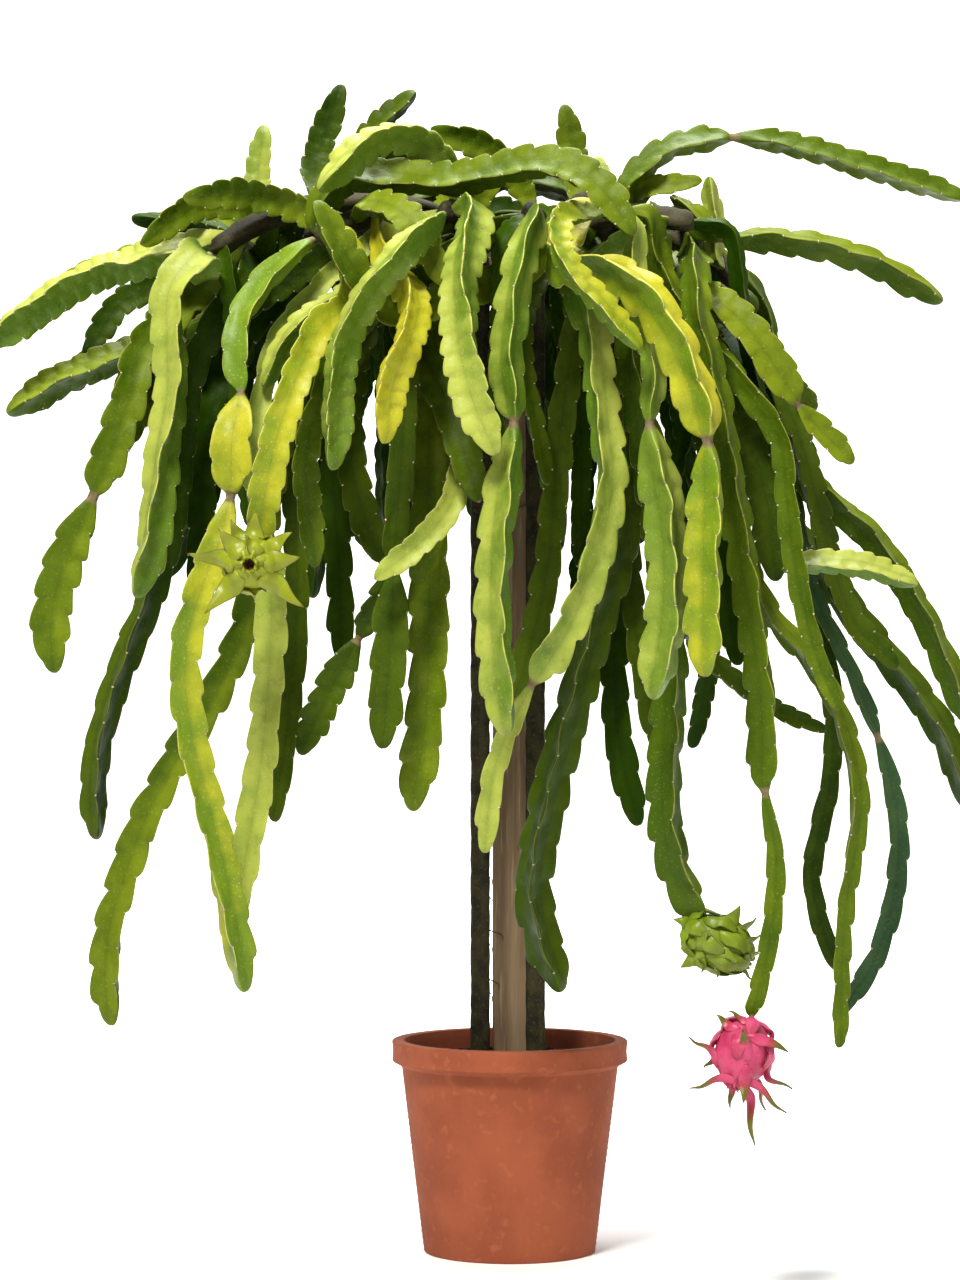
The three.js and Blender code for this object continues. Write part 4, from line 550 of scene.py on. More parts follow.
def settle():  # the stems press each other and the wood apart until they clear
    s = settling
    entries = list(laid.values())
    starts = np.concatenate([[0], np.cumsum([len(e["run"]) for e in entries])])
    index = {name: i for i, name in enumerate(laid)}
    place = np.vstack([e["p"] for e in entries])
    run = np.concatenate([e["run"] for e in entries])
    radius = np.concatenate([e["radius"] for e in entries])
    owner = np.repeat(np.arange(len(entries)), np.diff(starts))
    total = len(run)
    after = np.minimum(np.arange(total) + 1, starts[owner + 1] - 1)
    before = np.maximum(np.arange(total) - 1, starts[owner])
    free = limited((run - s["rootStill"]) / s["rootSoft"])
    one, two = np.tile(np.arange(total), 2), np.concatenate([np.arange(total), after])
    offs = np.zeros((2 * total, 3))
    reach = s["wingShare"] * (radius[one] + radius[two]) / 2 + s["gap"] / 2
    for fruit in fruits:
        end = starts[index[fruit["on"]] + 1] - 1
        one, two = np.append(one, end), np.append(two, end)
        offs = np.vstack([offs, fruit["toMiddle"]])
        reach = np.append(reach, fruit["radius"] + s["fruitRoom"])
    spotRun, spotOwner = (run[one] + run[two]) / 2, owner[one]
    spots = len(one)
    stillReach = fixedRadii + s["gap"] / 2
    allReach = np.concatenate([reach, stillReach])

    touching = np.zeros((spots, spots + len(fixedRadii)), bool)
    touching[:, :spots] = spotOwner[:, None] >= spotOwner[None, :]  # each pair of stems counts once
    hosts = np.array([index.get(e.get("host"), -1) for e in entries])[spotOwner]
    young = spotRun < s["lateralFree"]
    rides = (hosts[:, None] == spotOwner[None, :]) & young[:, None]
    touching[:, :spots] |= rides | rides.T
    for i, entry in enumerate(entries):
        if "root" in entry:
            nearWood = fixedWood & (np.linalg.norm(fixedPlaces - entry["root"], axis=1) < s["woodNear"])
            mine = (spotOwner == i) & (spotRun < s["woodRun"])
            touching[:, spots:] |= mine[:, None] & nearWood[None, :]

    shift = np.zeros_like(place)
    for turn in range(s["rounds"]):
        where = (place[one] + place[two]) / 2 + offs
        if turn % s["listEvery"] == 0:
            everywhere = np.vstack([where, fixedPlaces])
            apart = np.linalg.norm(where[:, None] - everywhere[None], axis=2)
            near = apart < reach[:, None] + allReach[None] + s["listReach"]
            a, b = np.nonzero(near & ~touching)
            soft = b < spots
            runB = np.where(soft, spotRun[np.minimum(b, spots - 1)], spotRun[a])
            outer = limited(np.minimum(spotRun[a], runB) / s["anyWay"])
            strength = s["push"] * np.where(soft, 0.5, s["stillPush"])
        everywhere = np.vstack([where, fixedPlaces])
        line = where[a] - everywhere[b]
        short = np.maximum(0, reach[a] + allReach[b] - np.linalg.norm(line, axis=1))
        across = 1 - (1 - s["across"]) * outer
        lead = np.where(line[:, 1] < 0, -s["depthLead"], s["depthLead"]) * outer
        way = unit(np.stack([line[:, 0] * across, line[:, 1] + lead, line[:, 2] * across + 0.01], axis=1))
        push = way * (short * strength)[:, None]
        step = np.zeros_like(place)
        for ends in (one, two):
            np.add.at(step, ends[a], push)
            np.subtract.at(step, ends[b[soft]], push[soft])
        step *= free[:, None]
        for _ in range(s["smoothing"]):
            step = step * 0.5 + (step[before] + step[after]) * 0.25
        limit = np.minimum(1, s["maxStep"] / np.maximum(np.linalg.norm(step, axis=1), 1e-9))
        shift = step * (limit * free)[:, None]
        for i, entry in enumerate(entries):
            if "host" in entry:
                mine = slice(starts[i], starts[i + 1])
                carried = shift[starts[index[entry["host"]]] + entry["hostStation"]]
                shift[mine] += carried * (1 - free[mine])[:, None]
        place += shift
    for i, entry in enumerate(entries):
        entry["p"] = place[starts[i]:starts[i + 1]]


settle()
print("crown laid out:", len(laid), "stems")


def framesOf(p):  # which way each station faces, carried along the line from its middle
    last = len(p) - 1
    ahead = unit(np.vstack([p[1:], p[-1:]]) - np.vstack([p[:1], p[:-1]]))
    middle = last // 2
    facing = np.zeros_like(p)
    front = (0, 0, 1) if abs(ahead[middle][1]) > stemShape["level"] else (0, -1, 0)
    facing[middle] = unit(np.array(front, float) - ahead[middle] * np.dot(front, ahead[middle]))
    for i in [*range(middle + 1, last + 1), *range(middle - 1, -1, -1)]:
        kept = facing[i - 1] if i > middle else facing[i + 1]
        facing[i] = unit(kept - ahead[i] * np.dot(kept, ahead[i]))
    return ahead, facing


# Darker shoots fill the inside of the crown, wherever one can hang from the old wood with room. Their shade
# tone is painted shade, as the crown's inside lies in shadow.
inner = {"tries": 2600, "most": 64, "width": (30, 50), "length": (280, 760), "out": (30, 75), "drift": 130,
         "free": 60, "gap": 2, "across": 470, "deep": 420, "lowest": 1130, "step": 22, "wingShare": 0.75,
         "lean": (-0.9, 0.5), "turn": (0, 120), "knee": 25}


def addInnerShoots():
    s = inner
    taken = [(fixedPlaces, fixedRadii)]

    def keep(entry):
        line = smoothLine(entry["p"], 6)
        radius = np.interp(np.arange(len(line)) / 6, np.arange(len(entry["radius"])), entry["radius"])
        taken.append((line, radius * s["wingShare"]))

    for entry in list(laid.values()):
        keep(entry)
    made = 0
    for _ in range(s["tries"]):
        bud = draw.integers(len(budPlaces))
        width, length = draw.uniform(*s["width"]), draw.uniform(*s["length"])
        turn, lean = draw.uniform(0, 2 * np.pi), draw.uniform(*s["lean"])
        way = unit(np.array([math.cos(turn), math.sin(turn), lean]))
        out = draw.uniform(*s["out"])
        drift = np.array([*draw.uniform(-s["drift"], s["drift"], 2), 0])
        place = budPlaces[bud]
        knee = place + way * (wood["radius"] + out)
        level = way * (1, 1, 0) * s["knee"]
        half = knee + drift * 0.5 + level - (0, 0, length * 0.5)
        end = knee + drift + level - (0, 0, length)
        points = [place, place + way * wood["radius"], knee, half, end]
        if made == s["most"] or end[2] < s["lowest"] or abs(end[0]) > s["across"] or abs(end[1]) > s["deep"]:
            continue
        line = smoothLine(points, 8)
        looked = evenly(line, nearest(runOf(line)[-1] / s["step"]))[nearest(s["free"] / s["step"]):]
        reach = width / stemShape["seenWidth"] * s["wingShare"] + s["gap"]
        if any((np.linalg.norm(looked[:, None] - at[None], axis=2) < reach + radius).any()
               for at, radius in taken):
            continue
        stem = {"name": f"inner_{made}", "tone": "shade", "widths": [width],
                "turn": draw.uniform(*s["turn"]), "small": True, "share": 1}
        entry = layOut(stem, points, 2)
        entry.update(plant=budPlants[bud], root=place)
        laid[stem["name"]] = entry
        keep(entry)
        made += 1
    print("inner shoots:", made)


addInnerShoots()

# A growing piece: blocks of points, faces, face materials and soft values for the skin's colours.
layers = ("edge", "along", "woody", "sun", "tint")


def newPiece():
    return {"points": [], "faces": [], "kinds": [], "count": 0, **{name: [] for name in layers}}


def addBlock(piece, points, faces, kind, **values):
    points = np.asarray(points, float).reshape(-1, 3)
    piece["points"].append(points)
    piece["faces"] += [tuple(int(i) + piece["count"] for i in face) for face in faces]
    piece["kinds"] += [kind] * len(faces)
    piece["count"] += len(points)
    for name in layers:
        value = np.asarray(values.get(name, 0.0), float)
        piece[name].append(np.broadcast_to(value.reshape(-1), len(points)))


def ringFaces(rows, columns, firstEnd, lastEnd):  # quads between rings, and fans to an end point at each end
    i, j = np.meshgrid(np.arange(rows - 1), np.arange(columns), indexing="ij")
    right = (j + 1) % columns
    quads = np.stack([i * columns + j, i * columns + right, (i + 1) * columns + right,
                      (i + 1) * columns + j], axis=-1).reshape(-1, 4)
    around = np.arange(columns)
    onward = (around + 1) % columns
    top = (rows - 1) * columns
    first = np.stack([np.full(columns, firstEnd), onward, around], axis=1)
    last = np.stack([np.full(columns, lastEnd), top + around, top + onward], axis=1)
    return [*quads.tolist(), *first.tolist(), *last.tolist()]


def addTube(piece, rings, kind, **values):  # rings of points joined into one closed skin
    rows, columns = rings.shape[:2]
    ends = np.stack([rings[0].mean(0), rings[-1].mean(0)])
    closed = {}
    for name, value in values.items():
        value = np.broadcast_to(np.asarray(value, float), (rows, columns))
        closed[name] = np.concatenate([value.reshape(-1), [value[0].mean(), value[-1].mean()]])
    faces = ringFaces(rows, columns, rows * columns, rows * columns + 1)
    addBlock(piece, np.vstack([rings.reshape(-1, 3), ends]), faces, kind, **closed)


def finishPiece(piece, name, materials, node):  # the piece as a mesh that stands for its node
    kinds = sorted(set(piece["kinds"]))
    mesh = bpy.data.meshes.new(name)
    mesh.from_pydata(np.vstack(piece["points"]) / 1000, [], piece["faces"])
    for kind in kinds:
        mesh.materials.append(materials[kind])
    mesh.polygons.foreach_set("material_index", [kinds.index(kind) for kind in piece["kinds"]])
    mesh.polygons.foreach_set("use_smooth", [True] * len(mesh.polygons))
    for soft in layers:
        attribute = mesh.attributes.new(soft, "FLOAT", "POINT")
        attribute.data.foreach_set("value", np.concatenate(piece[soft]).astype(np.float32))
    mesh.update()
    made = bpy.data.objects.new(name, mesh)
    bpy.context.scene.collection.objects.link(made)
    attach(made, "root")
    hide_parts(node)
    return made


# The winged skin of a stem. A row of points goes round the section: a valley, then out along one side of
# a wing to its margin and back along the other side, three times.
skin = {
    # One side of a wing from the valley to its margin: how far out, how thick, and the angle where round.
    "reach": (0.36, 0.62, 0.85, 0.965), "thick": (0.150, 0.102, 0.070, 0.036), "rounds": (42, 27, 13, 5),
    # Scallops: their spacing, least and most and as a share of the length, then their depth and shape.
    "pitch": (30, 62), "pitchShare": (0.054, 0.07), "depth": (0.15, 0.27), "jitter": (0.65, 1.35),
    "lobePlaces": (0.0, 0.13, 0.30, 0.48, 0.66, 0.82, 0.94),
    "lobeReach": (0.0, 0.30, 0.58, 0.80, 0.95, 1.0, 0.72),
    "farLobe": (0.0, 0.75, 1.0, 0.8), "meanLobe": 0.6, "puff": 0.7, "notchOpen": 0.55,
    # How a wing waves from side to side, and swings more slowly.
    "wave": 0.08, "waveLength": 96, "waveShift": 2.1, "swing": 0.06, "swingLength": 260, "swingShift": 1.3,
    # The tip, where the skin is old, and which way the sun stands for the painted sunlight on the flanks.
    "blunt": 0.75, "bluntShare": 0.42, "tip": ((0.4, 0.82), (0.75, 0.54), (0.95, 0.2)),
    "barkFrom": 0.08, "barkTo": 0.3, "tipBark": 0.75,
    "sunOut": 0.75, "sunUp": (0.0, -0.45, 0.75), "looksOut": 0.35,
}
# Painted shade: stems at the back of the crown take a darker tone, as the crown's inside lies in shadow.
farTone = {"sun": "leaf", "lime": "leaf", "leaf": "deep", "deep": "deep", "shade": "shade", "blue": "deep"}


def sweepRows(entry, spacing, twist, turn):  # fine rows along an entry's stations
    p, run = entry["p"], entry["run"]
    facing = framesOf(p)[1]
    finer = 8
    dense = smoothLine(p, finer)
    denseRun = np.interp(np.arange(len(dense)) / finer, np.arange(len(run)), run)
    runs = np.append(np.arange(0, run[-1] - spacing / 3, spacing), run[-1])
    middle = np.stack([np.interp(runs, denseRun, dense[:, k]) for k in range(3)], axis=1)
    ahead = unit(np.gradient(middle, runs, axis=0))
    facing = np.stack([np.interp(runs, run, facing[:, k]) for k in range(3)], axis=1)
    facing = unit(facing - ahead * (facing * ahead).sum(1, keepdims=True))
    angle = np.radians(turn + twist * (runs - run[(len(run) - 1) // 2]) / 1000)
    return runs, middle, ahead, facing, np.cross(ahead, facing), angle


def addStem(piece, entry, tone, fine, paler):
    s = skin
    pitch = np.clip(draw.uniform(*s["pitchShare"]) * entry["run"][-1], *s["pitch"])
    lobeReach = np.array(s["lobeReach"] if fine else s["farLobe"])
    steps = len(lobeReach)
    slides = np.array(s["lobePlaces"]) - np.arange(steps) / steps if fine else np.zeros(steps)
    depth, waveStart, swingStart = (draw.uniform(*between) for between in (s["depth"], anyTurn, anyTurn))
    runs, middle, ahead, facing, side, angle = sweepRows(
        entry, pitch / steps, entry["stem"].get("twist", stemShape["twist"]), entry["stem"]["turn"])
    ending = entry["growths"][-1]
    ending["ending"] *= s["blunt"]
    ending["endShare"] = max(ending["endShare"], s["bluntShare"])
    radius, opened, grow = widthAt(entry, runs)
    if entry.get("trimmed"):
        radius = radius * np.interp(runs, entry["run"][-3:], (1, *stemShape["farTips"]))
    rows = len(runs)
    low = radius * (stemShape["neckValley"] + (stemShape["valley"] - stemShape["neckValley"]) * opened)
    woody = 1 - limited((grow - s["barkFrom"]) / (s["barkTo"] - s["barkFrom"]))
    woody[-2:] = 0
    reach = np.array([*s["reach"], 1.0, *s["reach"][::-1]])
    thick = np.array([*[-t for t in s["thick"]], 0.0, *s["thick"][::-1]])
    rounds = np.radians([*[-a for a in s["rounds"]], 0.0, *s["rounds"][::-1]])
    # Painted sunlight, partly real sun-yellowing: how far each point of the skin faces the sun, kept as its
    # sun value.
    sunWay = unit(unit(middle * (1, 1, 0)) * s["sunOut"] + np.array(s["sunUp"]))
    columns = 3 * (len(reach) + 1)
    rings = np.zeros((rows, columns, 3))
    edge, sun = np.zeros((rows, columns)), np.zeros((rows, columns))
    notches = []
    for k in range(3):
        turn = angle + 2 * np.pi * k / 3
        out = facing * np.cos(turn)[:, None] + side * np.sin(turn)[:, None]
        over = side * np.cos(turn)[:, None] - facing * np.sin(turn)[:, None]
        counts = np.arange(rows) + k * steps // 3
        slid = slides[counts % steps] * pitch
        lobe = lobeReach[counts % steps]
        jitter = draw.uniform(*s["jitter"], rows // steps + 3)[counts // steps]
        bite = depth * jitter * (1 - lobe) * opened
        wave = s["wave"] * np.sin(waveStart + s["waveShift"] * k + 2 * np.pi * runs / s["waveLength"])
        swing = np.sin(swingStart + s["swingShift"] * k + 2 * np.pi * runs / s["swingLength"])
        wave = wave + s["swing"] * swing
        first = k * (len(reach) + 1)
        valley = low[:, None] * (out * math.cos(math.pi / 3) - over * math.sin(math.pi / 3))
        rings[:, first] = middle + valley
        sun[:, first] = (unit(valley) * sunWay).sum(1)
        for j, (x, y, a) in enumerate(zip(reach, thick, rounds)):
            outer = x**3
            wingX = x * (1 - bite * outer)
            puff = s["puff"] * (lobe - s["meanLobe"]) * (4 * x * (1 - x)) * opened
            wingY = y * (1 + puff) + wave * x**2
            atX = radius * (np.cos(a) * (1 - opened) + wingX * opened)
            atY = radius * (np.sin(a) * (1 - opened) + wingY * opened)
            slide = slid * outer * opened
            rings[:, first + 1 + j] = (middle + out * atX[:, None] + over * atY[:, None]
                                       + ahead * slide[:, None])
            edge[:, first + 1 + j] = x * opened
            looks = out if y == 0 else unit(over * np.sign(y) + s["looksOut"] * out)
            sun[:, first + 1 + j] = (looks * sunWay).sum(1)
        atNotch = np.nonzero((counts % steps == 0) & (opened > s["notchOpen"]))[0]
        tip = first + 1 + len(reach) // 2
        notches += [(rings[i, tip], out[i], over[i], ahead[i]) for i in atNotch]
    last, end = rings[-1], middle[-1]
    points = [end + (last - end) * small + ahead[-1] * radius[-1] * way for way, small in s["tip"]]
    rings = np.concatenate([rings, np.stack(points)])
    grown = lambda v: np.concatenate([v, np.repeat(v[-1:], len(points), axis=0)])
    woody = grown(woody)
    woody[-1:] = s["tipBark"]
    length = np.searchsorted([g["start"] for g in entry["growths"]], runs, side="right") - 1
    sun = sun * 0.5 + 0.5 + np.array(paler)[np.minimum(length, len(paler) - 1)][:, None]
    addTube(piece, rings, "skin_" + tone, edge=grown(edge), sun=grown(sun),
            along=grown(runs / 1000)[:, None], woody=woody[:, None], tint=draw.random())
    return notches


# Areoles: a pad of pale wool in each notch of a wing, with a few short spines.
areole = {"pad": 2.5, "spines": 4, "length": (3.0, 6.0), "root": 0.55, "spread": 0.9, "in": 0.2}


def repeated(faces, size, count):  # the same faces again for each of many small shapes
    return (np.arange(count)[:, None, None] * size + np.array(faces)[None]).reshape(-1, 3).tolist()


def addAreoles(piece, notches):
    if not notches:
        return
    place, out, over, ahead = (np.array(v) for v in zip(*notches))
    place = place - out * areole["in"]
    count = len(place)
    corners = [(1, 0, 0), (0, 1, 0), (0, 0, 1), (0, -1, 0), (0, 0, -1), (-1, 0, 0)]
    pads = [place + areole["pad"] * (out * a + over * b + ahead * c) for a, b, c in corners]
    padFaces = [(0, 1, 2), (0, 2, 3), (0, 3, 4), (0, 4, 1), (5, 2, 1), (5, 3, 2), (5, 4, 3), (5, 1, 4)]
    addBlock(piece, np.stack(pads, axis=1), repeated(padFaces, len(corners), count), "areole")
    for _ in range(areole["spines"]):
        lean = draw.uniform(-1, 1, (count, 2)) * areole["spread"]
        way = unit(out + over * lean[:, :1] + ahead * lean[:, 1:])
        across = unit(np.cross(way, ahead + 0.1 * over))
        up = np.cross(way, across)
        length = draw.uniform(*areole["length"], (count, 1))
        turns = np.radians((0, 120, 240))
        feet = [place + areole["root"] * (across * math.cos(t) + up * math.sin(t)) for t in turns]
        spines = [*feet, place + way * length]
        spineFaces = [(0, 1, 3), (1, 2, 3), (2, 0, 3), (2, 1, 0)]
        addBlock(piece, np.stack(spines, axis=1), repeated(spineFaces, len(spines), count), "spine")


# Old wood and climbing stems: rounded three-sided rods with bumps and rings of old growth.
bark = {"station": 80, "spacing": 12, "columns": 20, "bump": 0.055, "bumpStep": 0.05, "bumpMean": 1.1,
        "ribPower": 1.4, "ringLength": 62, "ringDepth": 0.07, "ringPower": 6, "roundEnd": 26,
        "endShare": 0.3}


def addWood(piece, line, radius, valley, turn, twist):
    count = max(2, nearest(runOf(line)[-1] / bark["station"]))
    points = evenly(line, count)
    entry = {"p": points, "run": runOf(points)}
    runs, middle, _, facing, side, angle = sweepRows(entry, bark["spacing"], twist, turn)
    around = np.linspace(0, 2 * np.pi, bark["columns"], endpoint=False)
    whole = runs[-1]
    fromEnd = limited(np.minimum(runs, whole - runs) / bark["roundEnd"])
    ends = bark["endShare"] + (1 - bark["endShare"]) * np.sqrt(1 - (1 - fromEnd) ** 2)
    ribs = 0.5 + 0.5 * np.cos(3 * (around[None] - angle[:, None]))
    rib = valley + (1 - valley) * ribs ** bark["ribPower"]
    growthRings = 0.5 + 0.5 * np.cos(2 * np.pi * runs / bark["ringLength"])
    old = 1 - bark["ringDepth"] * growthRings ** bark["ringPower"]
    rough = np.zeros((len(runs), bark["columns"]))
    for k in range(1, 5):
        phase = draw.uniform(*anyTurn, 3)
        lengthwise = np.sin(runs[:, None] * bark["bumpStep"] * k + phase[0])
        rough += lengthwise * np.cos(k * around[None] + phase[1]) / k
    size = radius * rib * (old * ends)[:, None] * (1 + bark["bump"] * (rough - bark["bumpMean"]))
    rings = (middle[:, None] + facing[:, None] * (size * np.cos(around))[..., None]
             + side[:, None] * (size * np.sin(around))[..., None])
    addTube(piece, rings, "bark", edge=rib, along=(runs / 1000)[:, None], woody=1, sun=0.5,
            tint=draw.random())


# Aerial roots: thin brown roots that hold the climbing stems to the post.
roots = {"each": 13, "radius": 1.5, "tip": 0.35, "from": 420, "to": 1660, "drop": (18, 55), "sides": 6,
         "inward": (0.15, 0.75), "sunk": 0.9, "waist": 0.86}


def addTubeAlong(piece, line, radii, sides, kind, **values):
    ahead, facing = framesOf(line)
    side = np.cross(ahead, facing)
    around = np.linspace(0, 2 * np.pi, sides, endpoint=False)
    radii = np.broadcast_to(np.asarray(radii, float), len(line))[:, None]
    rings = (line[:, None] + facing[:, None] * (radii * np.cos(around))[..., None]
             + side[:, None] * (radii * np.sin(around))[..., None])
    addTube(piece, rings, kind, **values)


def addRoots(piece, plant):
    x, y = 10 * plant["foot"][0], 10 * plant["foot"][1]
    face = post["side"] / 2
    for k in range(roots["each"]):
        z = roots["from"] + (roots["to"] - roots["from"]) * (k + draw.uniform(0.1, 0.9)) / roots["each"]
        drop = draw.uniform(*roots["drop"])
        onX = draw.random() < 0.5
        inward = draw.uniform(*roots["inward"])
        end = (math.copysign(face + 1, x), y * inward) if onX else (x * inward, math.copysign(face + 1, y))
        sunk, waist = roots["sunk"], roots["waist"]
        half = ((x * waist + end[0]) / 2, (y * waist + end[1]) / 2)
        points = [(x * sunk, y * sunk, z), (*half, z - 0.3 * drop), (*end, z - 0.6 * drop), (*end, z - drop)]
        line = smoothLine(points, 5)
        thin = roots["radius"] * np.linspace(1, roots["tip"], len(line))
        addTubeAlong(piece, line, thin, roots["sides"], "root", woody=1, sun=0.5)


# Which solid each stem belongs to: small stems are one with their plant, side growths with their host.
noStem = ("pot", "soil", "post", "arm_across", "arm_deep", *[fruit["name"] for fruit in fruits])
crown = {name: [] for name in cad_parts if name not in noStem}
for name, entry in laid.items():
    stem = entry["stem"]
    home = entry["plant"] if stem.get("small") else entry.get("host", name)
    crown[home].append(entry)

# How much more of the painted sunlight each length of a stem takes than others of its tone. Less than
# nothing makes it greener.
paler = {
    "left_1": (0.1,), "left_12": (-0.4, 0.0, 0.0), "front_14": (-0.12,), "front_15": (0.15, 0.0),
    "front_2": (-0.08,), "front_4": (0.3,), "front_11": (-0.12,), "front_21": (-0.12,),
    "front_22": (-0.1,), "right_1": (-0.1,), "right_5": (-0.15,), "right_8": (-0.15,), "right_11": (-0.15,),
    "top_1": (0.2,), "top_3": (0.4,), "top_4": (0.2,), "top_8": (-0.15,), "top_14": (0.3,),
    "top_15": (-0.4, -0.4), "top_16": (0.1, 0.1), "top_17": (0.4,),
}


def fillPiece(piece, entries):
    for entry in entries:
        stem = entry["stem"]
        far = "share" in stem
        tone = farTone[stem["tone"]] if far else stem["tone"]
        notches = addStem(piece, entry, tone, not far, paler.get(stem["name"], (0,)))
        if not far:
            addAreoles(piece, notches)


# Fruits: a rounded body, dented between the roots of its leafy scales, a dried flower end and a stalk.
fruitShape = {
    # The body in rings, from the stalk to the mouth, and how far it has ripened.
    "rings": 60, "around": 80, "closing": 0.93, "swellAtRoot": 0.07, "swellLevel": 0.35, "rootSize": 19,
    "pleats": 7, "pleatDepth": 0.07, "pleatReach": 16,
    "lip": ((4, -2), (3, 3), (1, 7), (-1, 6), (-3, 0), (-5, -6)), "pit": (3, -9), "driedFrom": 3,
    "ripeness": {"fruit_green_front": 0.6, "fruit_green_low": 0.1},
    # Leafy scales: a blade's most width and how it narrows, then how it clasps the body and leaves it.
    "scale": {"red": (11, 0.75), "unripe": (18, 0.95)}, "scaleTip": 0.94, "scaleSteps": 22,
    "scaleAround": 16, "clasp": 21, "sunk": 3.5, "stand": 2.5, "bow": 7, "leave": 0.36, "leastLift": 8,
    "bladeFrom": 9, "bladeShare": 0.22, "rootThick": 5.4, "tipThick": 1.2, "tipHollow": 0.3,
    "ridge": 0.35, "ridgeWidth": 0.22, "rootGreen": 0.06,
    # Small bracts in rows: each row's rise in degrees and how many stand in it.
    "bract": (15, 0.42), "bractRise": 34, "bractStray": 0.12, "bractLift": {"red": 1.04, "unripe": 1.13},
    "bractTip": {"red": 0.2, "unripe": 0.9},
    "bractRows": {"fruit_red": ((-52, 4), (-8, 5)), "fruit_green_front": ((-48, 5), (-14, 6)),
                  "fruit_green_low": ((-50, 5), (-16, 6), (16, 6), (44, 5))},
    # The stalk, from inside the stem's tip.
    "stalk": (-6, 4.5, 15), "stalkRadius": 4.5, "stalkFlare": 9.5, "stalkSides": 20,
}


def onBody(fruit, axis, points):  # points brought to the skin of the fruit's rounded body
    along = (points @ axis)[..., None] * axis
    size = np.sqrt((np.linalg.norm(points - along, axis=-1) / fruit["radius"]) ** 2
                   + (np.linalg.norm(along, axis=-1) / fruit["half"]) ** 2)
    return points / np.maximum(size, 0.05)[..., None]


# A leafy scale clasps the body, then leaves it. Its blade has a width at the root and narrows to the tip.
def addScale(piece, fruit, middle, axis, root, point, blade, greenTip):
    f = fruitShape
    root, point = onBody(fruit, axis, np.array(root, float)), np.array(point, float)
    out = unit(root)
    way = point - root
    lift = way - out * np.dot(way, out)
    slope = unit(lift if np.linalg.norm(lift) > f["leastLift"] else axis - out * np.dot(axis, out))
    start = onBody(fruit, axis, root - slope * f["clasp"])
    reach = np.linalg.norm(way)
    stand, bow = root + out * f["stand"], out * f["bow"]
    rib = [start - unit(start) * f["sunk"], onBody(fruit, axis, (start + root) / 2) + 0.5 * out, stand,
           stand + (slope + unit(way)) * reach * 0.15 + bow * 0.5, root + way * 0.68 + bow * 0.6, point]
    line = evenly(smoothLine(rib, 10), f["scaleSteps"])
    ahead = unit(np.gradient(line, axis=0))
    across = unit(np.cross(slope, out))
    across = unit(across - ahead * (ahead @ across)[:, None])
    up = np.cross(across, ahead)
    t = np.linspace(0, 1, len(line))
    free = limited((t - f["leave"]) / (1 - f["leave"]))
    rooted = np.sqrt(limited(t / (f["leave"] * 0.8)))
    width = min(blade[0], f["bladeFrom"] + f["bladeShare"] * reach)
    wide = width * (0.55 + 0.45 * rooted) * (1 - free) ** blade[1] + 0.4
    thick = f["tipThick"] + (f["rootThick"] - f["tipThick"]) * (1 - free) ** 1.2
    around = np.linspace(0, 2 * np.pi, f["scaleAround"], endpoint=False)
    x = wide[:, None] * np.cos(around)
    hug = -(x**2) / (2.1 * fruit["radius"]) * (1 - free)[:, None] ** 0.7
    hollow = f["tipHollow"] * wide[:, None] * np.cos(around) ** 2 * np.sin(np.pi * free)[:, None]
    ridge = f["ridge"] * np.exp(-((np.cos(around) / f["ridgeWidth"]) ** 2)) * (np.sin(around) > 0)
    y = thick[:, None] * (np.sin(around) * (1 - 0.55 * np.cos(around) ** 2) + ridge) + hug + hollow
    rings = middle + line[:, None] + across[:, None] * x[..., None] + up[:, None] * y[..., None]
    addTube(piece, rings, fruit["tone"] + "_fruit", along=(f["rootGreen"] + greenTip * free)[:, None],
            edge=np.abs(np.cos(around)) ** 4, tint=f["ripeness"].get(fruit["name"], 0))


